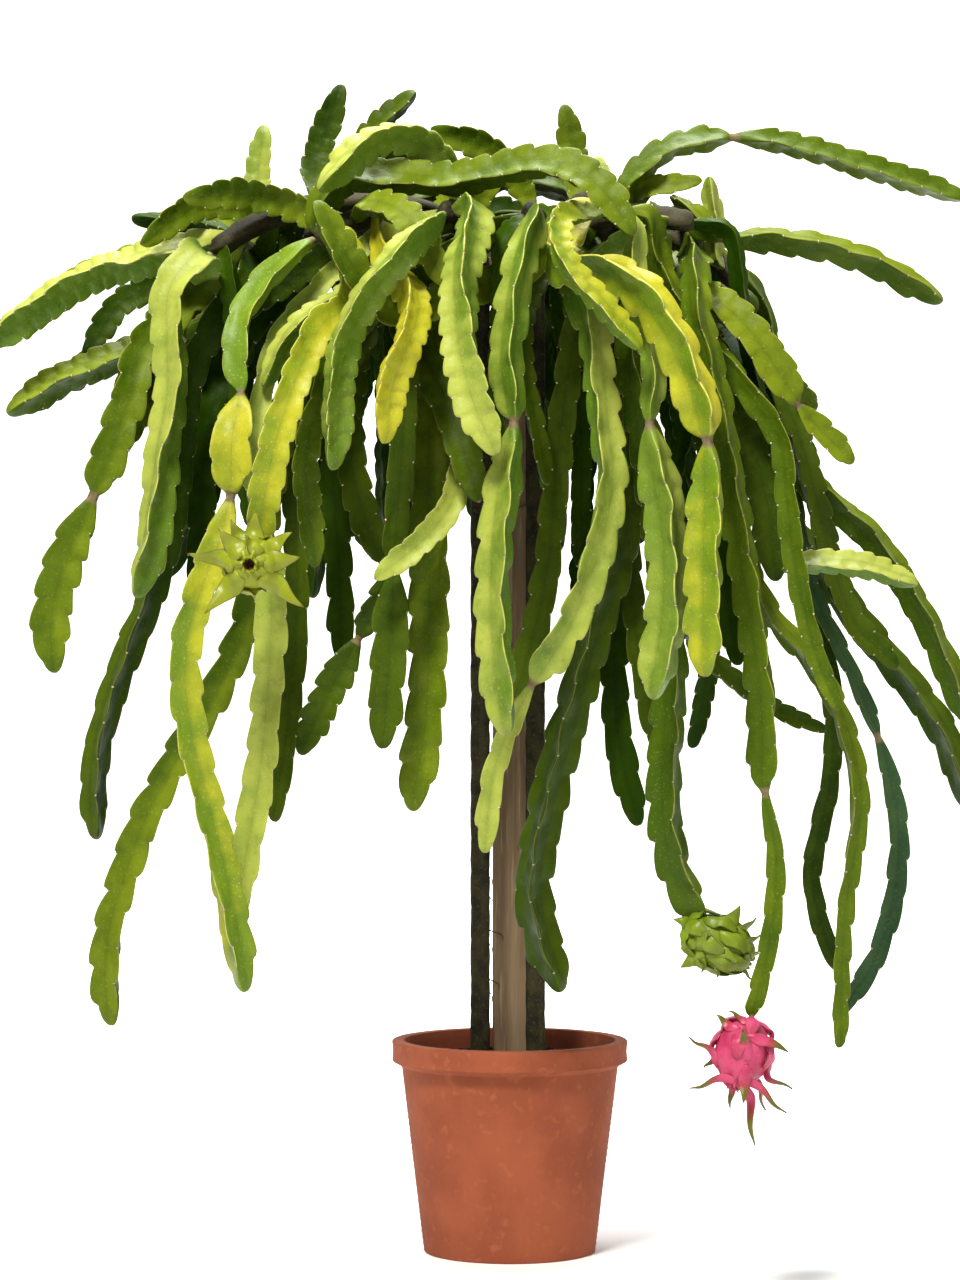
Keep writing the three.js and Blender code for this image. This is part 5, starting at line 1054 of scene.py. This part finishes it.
def makeFruit(fruit, materials):
    f = fruitShape
    entry = laid[fruit["on"]]
    last, ahead = entry["p"][-1], framesOf(entry["p"])[0][-1]
    middle, axis = last + np.array(fruit["toMiddle"], float), unit(np.array(fruit["axis"], float))
    side = unit(np.cross(axis, (0, 1, 0.1)))
    front = np.cross(side, axis)
    kind = fruit["tone"] + "_fruit"
    piece = newPiece()
    turn = np.linspace(0, np.pi * f["closing"], f["rings"])
    reach, height = fruit["radius"] * np.sin(turn), -fruit["half"] * np.cos(turn)
    lip, pit = np.array(f["lip"]), f["pit"]  # how far beyond the mouth's radius, and beyond the body's end
    reach = np.concatenate([reach, fruit["mouth"] + lip[:, 0], [pit[0]]])
    height = np.concatenate([height, fruit["half"] + lip[:, 1], [fruit["half"] + pit[1]]])
    reach[0] = 0.6
    around = np.linspace(0, 2 * np.pi, f["around"], endpoint=False)
    place = (side * np.cos(around)[:, None] + front * np.sin(around)[:, None])[None] * reach[:, None, None]
    place = place + axis * height[:, None, None]
    onSkin = onBody(fruit, axis, np.array([root for root, point in fruit["scales"]], float))
    apart = np.linalg.norm(place[:, :, None] - onSkin[None, None], axis=3)
    swellHere = np.exp(-((apart / f["rootSize"]) ** 2)).max(axis=2)
    body = np.arange(len(reach)) < f["rings"]
    place = place * (1 + f["swellAtRoot"] * (swellHere - f["swellLevel"]) * body[:, None])[..., None]
    pleat = np.cos(f["pleats"] * around) * f["pleatDepth"]
    atMouth = np.exp(-((np.abs(height - fruit["half"]) / f["pleatReach"]) ** 2))[:, None]
    place = place * (1 + pleat * atMouth)[..., None]
    dried = np.arange(len(reach)) > f["rings"] + f["driedFrom"]
    addTube(piece, middle + place, kind, woody=dried[:, None], along=f["rootGreen"] * swellHere,
            tint=f["ripeness"].get(fruit["name"], 0))
    for row, (rise, count) in enumerate(f["bractRows"][fruit["name"]]):
        for k in range(count):
            stray = draw.uniform(-f["bractStray"], f["bractStray"])
            turned = 2 * np.pi * (k + 0.5 * (row % 2) + stray) / count
            outward = side * math.cos(turned) + front * math.sin(turned)
            low, high = math.radians(rise), math.radians(rise + f["bractRise"])
            root = outward * math.cos(low) * fruit["radius"] + axis * math.sin(low) * fruit["half"]
            point = outward * math.cos(high) * fruit["radius"] + axis * math.sin(high) * fruit["half"]
            point = point * f["bractLift"][fruit["tone"]]
            addScale(piece, fruit, middle, axis, root, point, f["bract"], f["bractTip"][fruit["tone"]])
    for root, point in fruit["scales"]:
        addScale(piece, fruit, middle, axis, root, point, f["scale"][fruit["tone"]], f["scaleTip"])
    end = middle - axis * fruit["half"] * 0.4
    a, b, c = (last + ahead * reach for reach in f["stalk"])
    line = smoothLine([a, b, c, (c + end) / 2, end], 6)
    radii = np.interp(np.linspace(0, 4, len(line)), (2, 3), (f["stalkRadius"], f["stalkFlare"]))
    addTubeAlong(piece, line, radii, f["stalkSides"], kind, along=0.7, woody=0.35)
    finishPiece(piece, fruit["name"] + "_skin", materials, fruit["name"])


# The clay pot: a turned wall with a thick rim, faint throwing rings and four drain holes.
potShape = {"around": 112, "ease": 3, "rings": 0.5, "ringStep": 11, "wallRows": 60, "innerRows": 30,
            "baseRings": (1, 40, 78, 120), "band": 24, "oval": 0.0022, "threeWay": 0.0014, "drainSides": 32,
            "sharp": 50}


def wallAt(z):
    return pot["footRadius"] + (pot["wallRadius"] - pot["footRadius"]) * z / pot["rimUnder"]


def turnedSolid(profile, around, wobble):  # a closed solid turned from a profile of (radius, height)
    profile = np.array(profile, float)
    angle = np.linspace(0, 2 * np.pi, around, endpoint=False)
    reach = profile[:, :1] * wobble(profile[:, 1:], angle[None])
    height = np.broadcast_to(profile[:, 1:], reach.shape)
    return np.stack([reach * np.cos(angle), reach * np.sin(angle), height], axis=2)


def makePot(materials):
    p = pot
    floorIn, rimIn = wallAt(p["floor"]) - p["wall"], wallAt(p["height"]) - p["wall"]
    ease, base = potShape["ease"], potShape["baseRings"]

    def corner(r, z, first, last):  # an eased corner, from one angle to another
        turns = np.radians(np.linspace(first, last, 6))
        return [(r + ease * math.cos(t), z + ease * math.sin(t)) for t in turns]

    walls = [(wallAt(z), z) for z in np.linspace(8, p["rimUnder"] - 2, potShape["wallRows"])]
    innerWalls = [(wallAt(z) - p["wall"], z)
                  for z in np.linspace(p["height"] - 6, p["floor"] + 5, potShape["innerRows"])]
    profile = [*[(r, 0) for r in base], *corner(p["footRadius"] - ease, ease, -90, 0), *walls,
               *corner(p["rimRadius"] - ease, p["rimUnder"] + p["rimEase"] + ease, -60, 0),
               *corner(p["rimRadius"] - ease - 0.4, p["rimUnder"] + potShape["band"], -8, 8),
               *corner(p["rimRadius"] - ease, p["height"] - ease - 1, 0, 90),
               *corner(rimIn + ease, p["height"] - ease - 1, 90, 180), *innerWalls,
               (floorIn - 4, p["floor"] + 1), *[(r, p["floor"]) for r in base[::-1]]]
    sway = draw.uniform(*anyTurn, 3)

    def wobble(z, a):  # slightly oval, three-sided, and ringed by the maker's fingers
        oval = potShape["oval"] * np.sin(a * 2 + sway[0])
        threeWay = potShape["threeWay"] * np.sin(a * 3 + sway[1] + z / 60)
        rings = potShape["rings"] / p["wallRadius"] * np.sin(z * 2 * np.pi / potShape["ringStep"])
        return 1 + oval + threeWay + rings

    piece = newPiece()
    addTube(piece, turnedSolid(profile, potShape["around"], wobble), "clay")
    made = finishPiece(piece, "clay_pot", materials, "pot")
    cutMesh = bpy.data.meshes.new("drains")
    shape = bmesh.new()
    radius = p["drainRadius"] / 1000
    for k in range(p["drains"]):
        angle = 2 * np.pi * (k + 0.5) / p["drains"]
        at = Matrix.Translation((p["drainRing"] * math.cos(angle) / 1000,
                                 p["drainRing"] * math.sin(angle) / 1000, p["floor"] / 2000))
        bmesh.ops.create_cone(shape, cap_ends=True, segments=potShape["drainSides"], radius1=radius,
                              radius2=radius, depth=p["floor"] / 400, matrix=at)
    shape.to_mesh(cutMesh)
    shape.free()
    cutter = bpy.data.objects.new("drains", cutMesh)
    bpy.context.scene.collection.objects.link(cutter)
    holes = made.modifiers.new("drain_holes", "BOOLEAN")
    holes.operation, holes.object = "DIFFERENCE", cutter
    seen = made.evaluated_get(bpy.context.evaluated_depsgraph_get())
    drilled = bpy.data.meshes.new_from_object(seen)
    made.modifiers.clear()
    made.data = drilled
    made.data.set_sharp_from_angle(angle=math.radians(potShape["sharp"]))
    bpy.data.objects.remove(cutter)


# Potting soil: a lumpy mound with crumbs on it.
soilShape = {"top": 334, "heap": 9, "peak": 12, "heapRadius": 90, "lump": 1.575, "smoothEdge": 15,
             "crumbs": 420, "crumbSize": (1.6, 5.5), "crumbReach": (0.02, 0.93), "gap": 0.3, "around": 128,
             "rows": 46, "middle": 4, "dip": 1}


def lumps(x, y, size, seedTurns):  # gentle uneven ground
    out = 0
    for k, (a, b, c) in enumerate(seedTurns):
        wave = 0.014 * 1.55**k
        out = out + np.sin((x * math.cos(a) + y * math.sin(a)) * wave + b) * np.sin(
            (y * math.cos(a) - x * math.sin(a)) * wave * 1.2 + c) / (1 + 0.55 * k)
    return size * out


def makeSoil(materials):
    s = soilShape
    turns = draw.uniform(*anyTurn, (9, 3))
    edgeRadius = wallAt(s["top"]) - pot["wall"] - s["gap"]
    heapAt = lambda r: np.interp(r, (0, s["heapRadius"], edgeRadius), (s["peak"], s["heap"], 0)) + s["top"]
    ground = lambda x, y, r, fade: heapAt(r) - s["dip"] + fade * lumps(x, y, s["lump"], turns)
    around = s["around"]
    angle = np.linspace(0, 2 * np.pi, around, endpoint=False)
    low = pot["floor"] + s["gap"]
    lowRadius = wallAt(low) - pot["wall"] - s["gap"] - 0.5
    rows = [np.stack([r * np.cos(angle), r * np.sin(angle), np.full(around, z)], axis=1)
            for r, z in ((s["middle"], low), (lowRadius * 0.5, low), (lowRadius, low),
                         (edgeRadius - 0.6, s["top"] - 12))]
    for r in np.linspace(edgeRadius, s["middle"], s["rows"]):
        x, y = r * np.cos(angle), r * np.sin(angle)
        fade = min(1, (edgeRadius - r) / s["smoothEdge"])
        rows.append(np.stack([x, y, ground(x, y, r, fade)], axis=1))
    piece = newPiece()
    addTube(piece, np.stack(rows), "earth", tint=0.3)
    base = bmesh.new()
    bmesh.ops.create_icosphere(base, subdivisions=1, radius=1)
    ball = np.array([v.co[:] for v in base.verts])
    ballFaces = [[v.index for v in face.verts] for face in base.faces]
    base.free()
    for _ in range(s["crumbs"]):
        r, a = edgeRadius * math.sqrt(draw.uniform(*s["crumbReach"])), draw.uniform(*anyTurn)
        x, y, size = r * math.cos(a), r * math.sin(a), draw.uniform(*s["crumbSize"])
        if max(abs(x), abs(y)) < post["side"] / 2 + size:
            continue
        z = ground(x, y, r, 1) + size * 0.3
        shape = ball * size * draw.uniform(0.7, 1.2, (len(ball), 1)) * (1, 0.85, 0.7)
        addBlock(piece, shape + (x, y, z), ballFaces, "earth", tint=draw.random())
    finishPiece(piece, "potting_soil", materials, "soil")


# Timber: the post and the two halved arms, with eased corners, drying checks and a little sway.
timber = {"ease": 3, "spacing": 14, "checks": 7, "checkDepth": 2.6, "rough": 0.35, "flatPoints": 15,
          "cornerTurns": (22, 45, 68), "endEase": 2.6, "endDrop": 0.045, "endGrain": 4, "saw": 0.05,
          "checkReach": (0.08, 0.3), "roughShare": 0.25, "roughest": (-0.7, 0.3), "sharp": 42}


def addTimber(piece, start, end, side, upWay, notch):
    start, end, upWay = (np.array(v, float) for v in (start, end, upWay))
    ahead = unit(end - start)
    across = np.cross(upWay, ahead)
    whole = np.linalg.norm(end - start)
    half, ease = side / 2, timber["ease"]
    edgePoints = []
    flat = np.linspace(-half + ease, half - ease, timber["flatPoints"])
    for k in range(4):
        turn = math.radians(90 * k)
        row = [(half, v) for v in flat]
        row += [(half - ease + ease * math.cos(a), half - ease + ease * math.sin(a))
                for a in np.radians(timber["cornerTurns"])]
        c, d = math.cos(turn), math.sin(turn)
        edgePoints += [(x * c - y * d, x * d + y * c) for x, y in row]
    section = np.array(edgePoints)
    count = nearest(whole / timber["spacing"])
    runs = list(np.linspace(0, whole, count + 1))
    cut, eased = side / 2 + post["seat"], timber["endEase"]
    if notch:
        runs = [r for r in runs if abs(abs(r - whole / 2) - cut) > 3]
        runs += [whole / 2 + way * cut + saw for way in (-1, 1) for saw in (-timber["saw"], timber["saw"])]
    runs += [0.8, eased, whole - 0.8, whole - eased]
    runs = np.array(sorted(runs))
    shape = np.repeat(section[None], len(runs), axis=0)
    endShare = 1 - timber["endDrop"] * limited(1 - np.minimum(runs, whole - runs) / eased) ** 2
    shape = shape * endShare[:, None, None]
    columns = len(section)
    deep = np.zeros((len(runs), columns))
    for _ in range(timber["checks"]):
        column = draw.integers(0, columns)
        place, reach = draw.uniform(0, whole), draw.uniform(*timber["checkReach"]) * whole
        drift = nearest(draw.uniform(0, 1))
        share = limited(1 - np.abs(runs - place) / reach) ** 0.5
        deep[np.arange(len(runs)), (column + drift * (runs > place)) % columns] += share
    rough = draw.normal(0, timber["rough"], (len(runs), columns)).cumsum(axis=0)
    rough -= np.linspace(0, 1, len(runs))[:, None] * rough[-1:]
    rough = np.clip(rough * timber["roughShare"], *timber["roughest"])
    size = np.linalg.norm(shape, axis=2, keepdims=True)
    shape = shape * (1 + ((rough - timber["checkDepth"] * deep)[..., None] - 0.3) / size)
    if notch:
        inNotch = np.abs(runs - whole / 2) < cut
        level = -post["seat"] * notch
        clipped = np.minimum(shape[..., 0], level) if notch > 0 else np.maximum(shape[..., 0], level)
        shape[..., 0] = np.where(inNotch[:, None], clipped, shape[..., 0])
    rings = (start + ahead * runs[:, None])[:, None] + upWay * shape[..., :1] + across * shape[..., 1:]
    addTube(piece, rings, "timber", edge=limited(deep), along=(runs / 1000)[:, None],
            woody=limited(1 - np.minimum(runs, whole - runs) / timber["endGrain"])[:, None],
            tint=draw.random())


def makeTimber(materials):
    up = (0, 0, 1)
    half = arm["length"] / 2
    lines = {
        "post": ((0, 0, post["foot"]), (0, 0, post["top"]), post["side"], (1, 0, 0), 0),
        "arm_across": ((-half, 0, armMiddle), (half, 0, armMiddle), arm["side"], up, 1),
        "arm_deep": ((0, -half, armMiddle), (0, half, armMiddle), arm["side"], up, -1),
    }
    for name, line in lines.items():
        piece = newPiece()
        addTimber(piece, *line)
        made = finishPiece(piece, "timber_" + name, materials, name)
        made.data.set_sharp_from_angle(angle=math.radians(timber["sharp"]))


# Materials. Small helpers that add a node and wire or set its inputs.
def newSurface(name, roughness, specular):
    made = bpy.data.materials.new(name)
    made.use_nodes = True
    shader = made.node_tree.nodes["Principled BSDF"]
    shader.inputs["Roughness"].default_value = roughness
    shader.inputs["Specular IOR Level"].default_value = specular
    return made, made.node_tree, shader


def wire(tree, value, socket):
    if hasattr(value, "is_output"):
        tree.links.new(value, socket)
    else:
        socket.default_value = value


def layer(tree, name):  # one of the soft values kept on the mesh
    made = tree.nodes.new("ShaderNodeAttribute")
    made.attribute_name = name
    return made.outputs["Fac"]


def calc(tree, operation, a, b):
    made = tree.nodes.new("ShaderNodeMath")
    made.operation = operation
    wire(tree, a, made.inputs[0])
    wire(tree, b, made.inputs[1])
    return made.outputs[0]


def spread(tree, value, low, high, to=(0.0, 1.0)):  # a smooth step from one level to another
    made = tree.nodes.new("ShaderNodeMapRange")
    made.interpolation_type = "SMOOTHSTEP"
    wire(tree, value, made.inputs["Value"])
    for socket, number in zip(("From Min", "From Max", "To Min", "To Max"), (low, high, *to)):
        made.inputs[socket].default_value = number
    return made.outputs["Result"]


def linear(colour):  # a colour as the eye names it, 0 to 255, in the renderer's own scale
    return (*[(v / 255 / 12.92) if v < 10.3 else ((v / 255 + 0.055) / 1.055) ** 2.4 for v in colour], 1.0)


def blend(tree, share, a, b):  # sockets 6, 7 and 2 are the mix node's two colours and its result
    made = tree.nodes.new("ShaderNodeMix")
    made.data_type = "RGBA"
    wire(tree, share, made.inputs[0])
    for value, socket in ((a, made.inputs[6]), (b, made.inputs[7])):
        wire(tree, linear(value) if isinstance(value, tuple) else value, socket)
    return made.outputs[2]


def noise(tree, perMetre, detail, stretch=None, roughness=0.5):
    at = tree.nodes.new("ShaderNodeTexCoord").outputs["Object"]
    if stretch:
        scaled = tree.nodes.new("ShaderNodeMapping")
        scaled.inputs["Scale"].default_value = stretch
        tree.links.new(at, scaled.inputs["Vector"])
        at = scaled.outputs["Vector"]
    made = tree.nodes.new("ShaderNodeTexNoise")
    tree.links.new(at, made.inputs["Vector"])
    made.inputs["Scale"].default_value = perMetre
    made.inputs["Detail"].default_value = detail
    made.inputs["Roughness"].default_value = roughness
    return made.outputs["Fac"]


def relief(tree, shader, height, distance, strength=1.0):
    made = tree.nodes.new("ShaderNodeBump")
    made.inputs["Distance"].default_value = distance
    made.inputs["Strength"].default_value = strength
    tree.links.new(height, made.inputs["Height"])
    tree.links.new(made.outputs["Normal"], shader.inputs["Normal"])


# The waxy skin, one finish for each tone of stem. Colours are 0 to 255. The tones are partly the stems' own
# colours and partly painted light: sun is a sunlit copy, deep and shade are shaded copies for stems in the
# crown's shadow. Each valley colour is painted shade for the crease between wings.
skinTones = {
    "sun": {"body": (118, 138, 20), "variant": (94, 122, 18), "valley": (68, 94, 12),
            "gold": (184, 176, 34), "goldShare": 0.8, "margin": (216, 206, 112), "shine": 0.25},
    "lime": {"body": (104, 128, 36), "variant": (82, 112, 20), "valley": (56, 84, 12),
             "gold": (172, 178, 74), "goldShare": 0.8, "margin": (200, 196, 108), "shine": 0.25},
    "leaf": {"body": (76, 96, 9), "variant": (58, 81, 7), "valley": (39, 61, 5), "gold": (130, 142, 24),
             "goldShare": 0.55, "margin": (156, 154, 74), "shine": 0.1},
    "deep": {"body": (52, 72, 4), "variant": (36, 58, 5), "valley": (21, 38, 3), "gold": (86, 102, 11),
             "goldShare": 0.5, "margin": (110, 114, 52), "shine": 0.08},
    "shade": {"body": (36, 62, 1), "variant": (28, 52, 1), "valley": (15, 31, 1), "gold": (62, 84, 4),
              "goldShare": 0.4, "margin": (66, 76, 30), "shine": 0.05},
    "blue": {"body": (42, 70, 40), "variant": (33, 60, 34), "valley": (17, 32, 17), "gold": (78, 102, 50),
             "goldShare": 0.45, "margin": (108, 124, 78), "shine": 0.14},
}
skinMarks = {"cork": (118, 92, 50), "scar": (134, 116, 62), "oldDark": (74, 58, 34),
             "oldPale": (140, 126, 90)}


def skinSurface(tone, colours):
    made, tree, shader = newSurface("waxy_skin_" + tone, 0.5, colours["shine"])
    edge, sun, woody, tint = (layer(tree, name) for name in ("edge", "sun", "woody", "tint"))
    patches = noise(tree, 14, 4)
    shifted = calc(tree, "ADD", calc(tree, "MULTIPLY", patches, 0.7), calc(tree, "MULTIPLY", tint, 0.3))
    colour = blend(tree, spread(tree, shifted, 0.35, 0.65), colours["body"], colours["variant"])
    # Painted sunlight, partly real sun-yellowing: flanks that face the sun turn towards the sunlit gold.
    lit = calc(tree, "ADD", sun, calc(tree, "MULTIPLY", noise(tree, 20, 4), 0.4))
    lit = calc(tree, "MULTIPLY", spread(tree, lit, 0.86, 1.2), colours["goldShare"])
    colour = blend(tree, lit, colour, colours["gold"])  # flanks that face the sun
    # Painted shade: the skin darkens towards the valley between wings, with a thin darker line in the
    # crease.
    creaseShadeMask = calc(tree, "ADD", edge, calc(tree, "MULTIPLY", noise(tree, 60, 3), 0.12))
    colour = blend(tree, spread(tree, creaseShadeMask, 0.0, 0.6, (0.25, 0.0)), colour, colours["valley"])
    colour = blend(tree, spread(tree, creaseShadeMask, 0.05, 0.11, (0.25, 0.0)), colour, colours["valley"])
    fine = noise(tree, 260, 3)  # pale flecks, then darker clouds
    colour = blend(tree, spread(tree, fine, 0.58, 0.72, (0.0, 0.24)), colour, colours["margin"])
    clouds = spread(tree, noise(tree, 48, 5, None, 0.65), 0.52, 0.7, (0.0, 0.22))
    colour = blend(tree, clouds, colour, colours["valley"])
    # A pale margin with a corky edge, scars here and there, and grey streaks where the skin is old.
    rim = calc(tree, "ADD", edge, calc(tree, "MULTIPLY", noise(tree, 90, 3), 0.05))
    colour = blend(tree, spread(tree, rim, 0.985, 1.03, (0.0, 0.8)), colour, colours["margin"])
    cork = calc(tree, "ADD", edge, calc(tree, "MULTIPLY", noise(tree, 60, 4), 0.06))
    colour = blend(tree, spread(tree, cork, 1.02, 1.04, (0.0, 0.7)), colour, skinMarks["cork"])
    scars = spread(tree, noise(tree, 30, 6, None, 0.72), 0.70, 0.76, (0.0, 0.5))
    colour = blend(tree, scars, colour, skinMarks["scar"])
    streaks = blend(tree, noise(tree, 120, 4), skinMarks["oldDark"], skinMarks["oldPale"])
    bark = calc(tree, "ADD", woody, calc(tree, "MULTIPLY", noise(tree, 70, 4), 0.5))
    colour = blend(tree, spread(tree, bark, 0.55, 1.0), colour, streaks)
    tree.links.new(colour, shader.inputs["Base Color"])
    rough = calc(tree, "ADD", spread(tree, woody, 0.2, 0.8, (0.38, 0.7)), calc(tree, "MULTIPLY", fine, 0.16))
    tree.links.new(rough, shader.inputs["Roughness"])
    height = calc(tree, "ADD", calc(tree, "MULTIPLY", fine, 0.3), noise(tree, 55, 4))
    relief(tree, shader, height, 0.0018, 0.8)
    return made


def mottled(name, roughness, dark, mid, pale, perMetre, bump, stretch=None):
    made, tree, shader = newSurface(name, roughness, 0.3)
    large, small = noise(tree, perMetre, 4, stretch), noise(tree, perMetre * 6, 4, stretch)
    shifted = calc(tree, "ADD", large, calc(tree, "MULTIPLY", layer(tree, "tint"), 0.12))
    colour = blend(tree, spread(tree, shifted, 0.36, 0.62), dark, mid)
    colour = blend(tree, spread(tree, small, 0.52, 0.74, (0.0, 0.75)), colour, pale)
    tree.links.new(colour, shader.inputs["Base Color"])
    tree.links.new(spread(tree, small, 0.3, 0.7, (roughness - 0.08, min(1.0, roughness + 0.08))),
                   shader.inputs["Roughness"])
    height = calc(tree, "ADD", large, calc(tree, "MULTIPLY", small, 0.5))
    relief(tree, shader, height, bump)
    return made


# A fruit's skin. Its scales pass from the body's colour to another at the middle, then to green and a tip.
fruitMarks = {"ripening": (142, 144, 16), "speckle": (206, 190, 140), "dried": (74, 52, 36)}


def fruitSurface(name, body, blush, middle, green, tip, rim):
    made, tree, shader = newSurface(name, 0.42, 0.35)
    along, edge, dry, ripe = (layer(tree, key) for key in ("along", "edge", "woody", "tint"))
    patches = noise(tree, 30, 4)
    colour = blend(tree, spread(tree, patches, 0.35, 0.68), body, blush)
    way = calc(tree, "ADD", along, calc(tree, "MULTIPLY", noise(tree, 70, 3), 0.14))
    colour = blend(tree, spread(tree, way, 0.2, 0.42), colour, middle)
    colour = blend(tree, spread(tree, way, 0.36, 0.66), colour, green)
    colour = blend(tree, ripe, colour, fruitMarks["ripening"])
    colour = blend(tree, spread(tree, way, 0.9, 1.08), colour, tip)
    rimAt = calc(tree, "MULTIPLY", spread(tree, edge, 0.4, 0.95), spread(tree, along, 0.0, 0.2))
    colour = blend(tree, calc(tree, "MULTIPLY", rimAt, 0.8), colour, rim)
    fine = noise(tree, 420, 3)
    colour = blend(tree, spread(tree, fine, 0.6, 0.75, (0.0, 0.2)), colour, fruitMarks["speckle"])
    colour = blend(tree, spread(tree, dry, 0.1, 0.8), colour, fruitMarks["dried"])
    tree.links.new(colour, shader.inputs["Base Color"])
    tree.links.new(calc(tree, "ADD", calc(tree, "MULTIPLY", fine, 0.2), 0.3), shader.inputs["Roughness"])
    height = calc(tree, "ADD", calc(tree, "MULTIPLY", fine, 0.4), noise(tree, 90, 3))
    relief(tree, shader, height, 0.0008, 0.7)
    return made


# Finishes: a name, roughness, three colours from dark to pale, spots to a metre, relief and any stretch.
finishes = {
    "areole": ("areole_wool", 0.9, (166, 152, 112), (206, 196, 158), (232, 226, 198), 300, 0.0004),
    "spine": ("spine_horn", 0.6, (40, 26, 14), (66, 46, 26), (104, 80, 50), 300, 0.0002),
    "bark": ("old_bark", 0.85, (28, 26, 11), (50, 46, 22), (82, 72, 42), 34, 0.003),
    "root": ("aerial_root", 0.8, (70, 50, 30), (104, 80, 50), (136, 112, 78), 90, 0.0006),
    "clay": ("terracotta", 0.84, (140, 70, 43), (154, 80, 50), (164, 92, 62), 9, 0.0006),
    "earth": ("potting_earth", 0.95, (24, 17, 11), (46, 33, 22), (78, 60, 42), 110, 0.003),
    "timber": ("weathered_timber", 0.82, (104, 84, 60), (148, 124, 94), (172, 152, 122), 26, 0.0012,
               (1.0, 1.0, 0.06)),
}
# Fruit skins: body, blush, a scale's middle, its green part, its tip and its rim.
fruitSkins = {
    "red_fruit": ("red_fruit_skin", (172, 40, 80), (198, 68, 108), (164, 58, 62), (96, 92, 22), (62, 42, 16),
                  (104, 62, 34)),
    "unripe_fruit": ("green_fruit_skin", (96, 118, 14), (114, 136, 22), (108, 130, 16), (98, 114, 14),
                     (84, 56, 22), (66, 78, 12)),
}
materials = {"skin_" + tone: skinSurface(tone, colours) for tone, colours in skinTones.items()}
materials.update({kind: mottled(*finish) for kind, finish in finishes.items()})
materials.update({kind: fruitSurface(*colours) for kind, colours in fruitSkins.items()})
print("finishes made:", len(materials))

# The pieces, one for each solid.
makePot(materials)
makeSoil(materials)
makeTimber(materials)
print("pot, soil and timber made")
for name, entries in crown.items():
    piece = newPiece()
    plant = next((one for one in plants if one["name"] == name), None)
    if plant:
        addWood(piece, climbLine(plant), climb["radius"], climb["valley"], climb["turn"], 0)
        for branch in plant["branches"]:
            addWood(piece, branchLine(branch), wood["radius"], wood["valley"], 0, wood["twist"])
        addRoots(piece, plant)
    fillPiece(piece, entries)
    finishPiece(piece, name + "_skin", materials, name)
print("plants and hanging stems made:", len(crown))
for fruit in fruits:
    makeFruit(fruit, materials)
print("fruits made:", len(fruits))


# A pale studio, in metres: a floor that curves up into a backdrop, three soft lights on the plant, and one
# each for the floor and the backdrop. A light has its place, what it looks at, its size, power and colour.
studio = {"floor": (-16, 13), "curve": 4, "wall": 11, "wide": 16, "steps": 24, "white": (246, 246, 244),
          "room": 0.34}
lights = {
    "key": ((-1.2, -3.4, 5.4), (0, 0, 1.3), 1.2, 430, (1.0, 0.98, 0.93)),
    "fill": ((3.6, -4.5, 2.4), (0, 0, 1.2), 3.0, 36, (0.95, 0.98, 1.0)),
    "top": ((0.3, 1.0, 4.8), (0, 0, 1.6), 1.6, 100, (1, 1, 1)),
    "floor": ((0, 1.6, 6.5), (0, 7.5, 1.6), 4.0, 900, (1, 1, 1)),
    "backdrop": ((0, 6, 8.5), (0, 16, 2.5), 8.0, 2200, (1, 1, 1)),
}


def makeStudio():
    near, far = studio["floor"]
    bend = [(far + studio["curve"] * math.sin(a), studio["curve"] * (1 - math.cos(a)))
            for a in np.linspace(0, math.pi / 2, studio["steps"])]
    profile = [(near, 0), *bend, (far + studio["curve"], studio["wall"])]
    points = [(x, y, z) for y, z in profile for x in (-studio["wide"], studio["wide"])]
    faces = [(2 * i, 2 * i + 1, 2 * i + 3, 2 * i + 2) for i in range(len(profile) - 1)]
    mesh = bpy.data.meshes.new("studio_sweep")
    mesh.from_pydata(points, [], faces)
    mesh.polygons.foreach_set("use_smooth", [True] * len(faces))
    sweep = bpy.data.objects.new("studio_sweep", mesh)
    surface, _, shader = newSurface("studio_paper", 0.9, 0.2)
    shader.inputs["Base Color"].default_value = linear(studio["white"])
    mesh.materials.append(surface)
    bpy.context.scene.collection.objects.link(sweep)


def addLight(name, at, target, size, watts, colour):
    data = bpy.data.lights.new(name, "AREA")
    data.shape, data.size, data.energy, data.color = "DISK", size, watts, colour
    light = bpy.data.objects.new(name, data)
    light.location = at
    light.rotation_euler = (Vector(target) - Vector(at)).to_track_quat("-Z", "Y").to_euler()
    bpy.context.scene.collection.objects.link(light)


makeStudio()
for name, light in lights.items():
    addLight(name, *light)
world = bpy.data.worlds.new("white_room")
bpy.context.scene.world = world
world.use_nodes = True
world.node_tree.nodes["Background"].inputs["Color"].default_value = (1, 1, 1, 1)
world.node_tree.nodes["Background"].inputs["Strength"].default_value = studio["room"]
bpy.context.scene.view_settings.view_transform = "Standard"  # keeps the greens and yellows full

# The camera stands level with the crown's lower half, as far away as the stems' sizes suggest.
eye = {"height": 1.0675, "shown": 2.24, "sensor": 36}
camera = bpy.data.cameras.new("front")
camera.sensor_width = eye["sensor"]
camera.lens = eye["sensor"] * view["distance"] / 100 / eye["shown"]
photographer = bpy.data.objects.new("front", camera)
photographer.location = (view["x"] / 100, -view["distance"] / 100, eye["height"])
photographer.rotation_euler = (math.pi / 2, 0, 0)
bpy.context.scene.collection.objects.link(photographer)
bpy.context.scene.camera = photographer

print("studio ready")
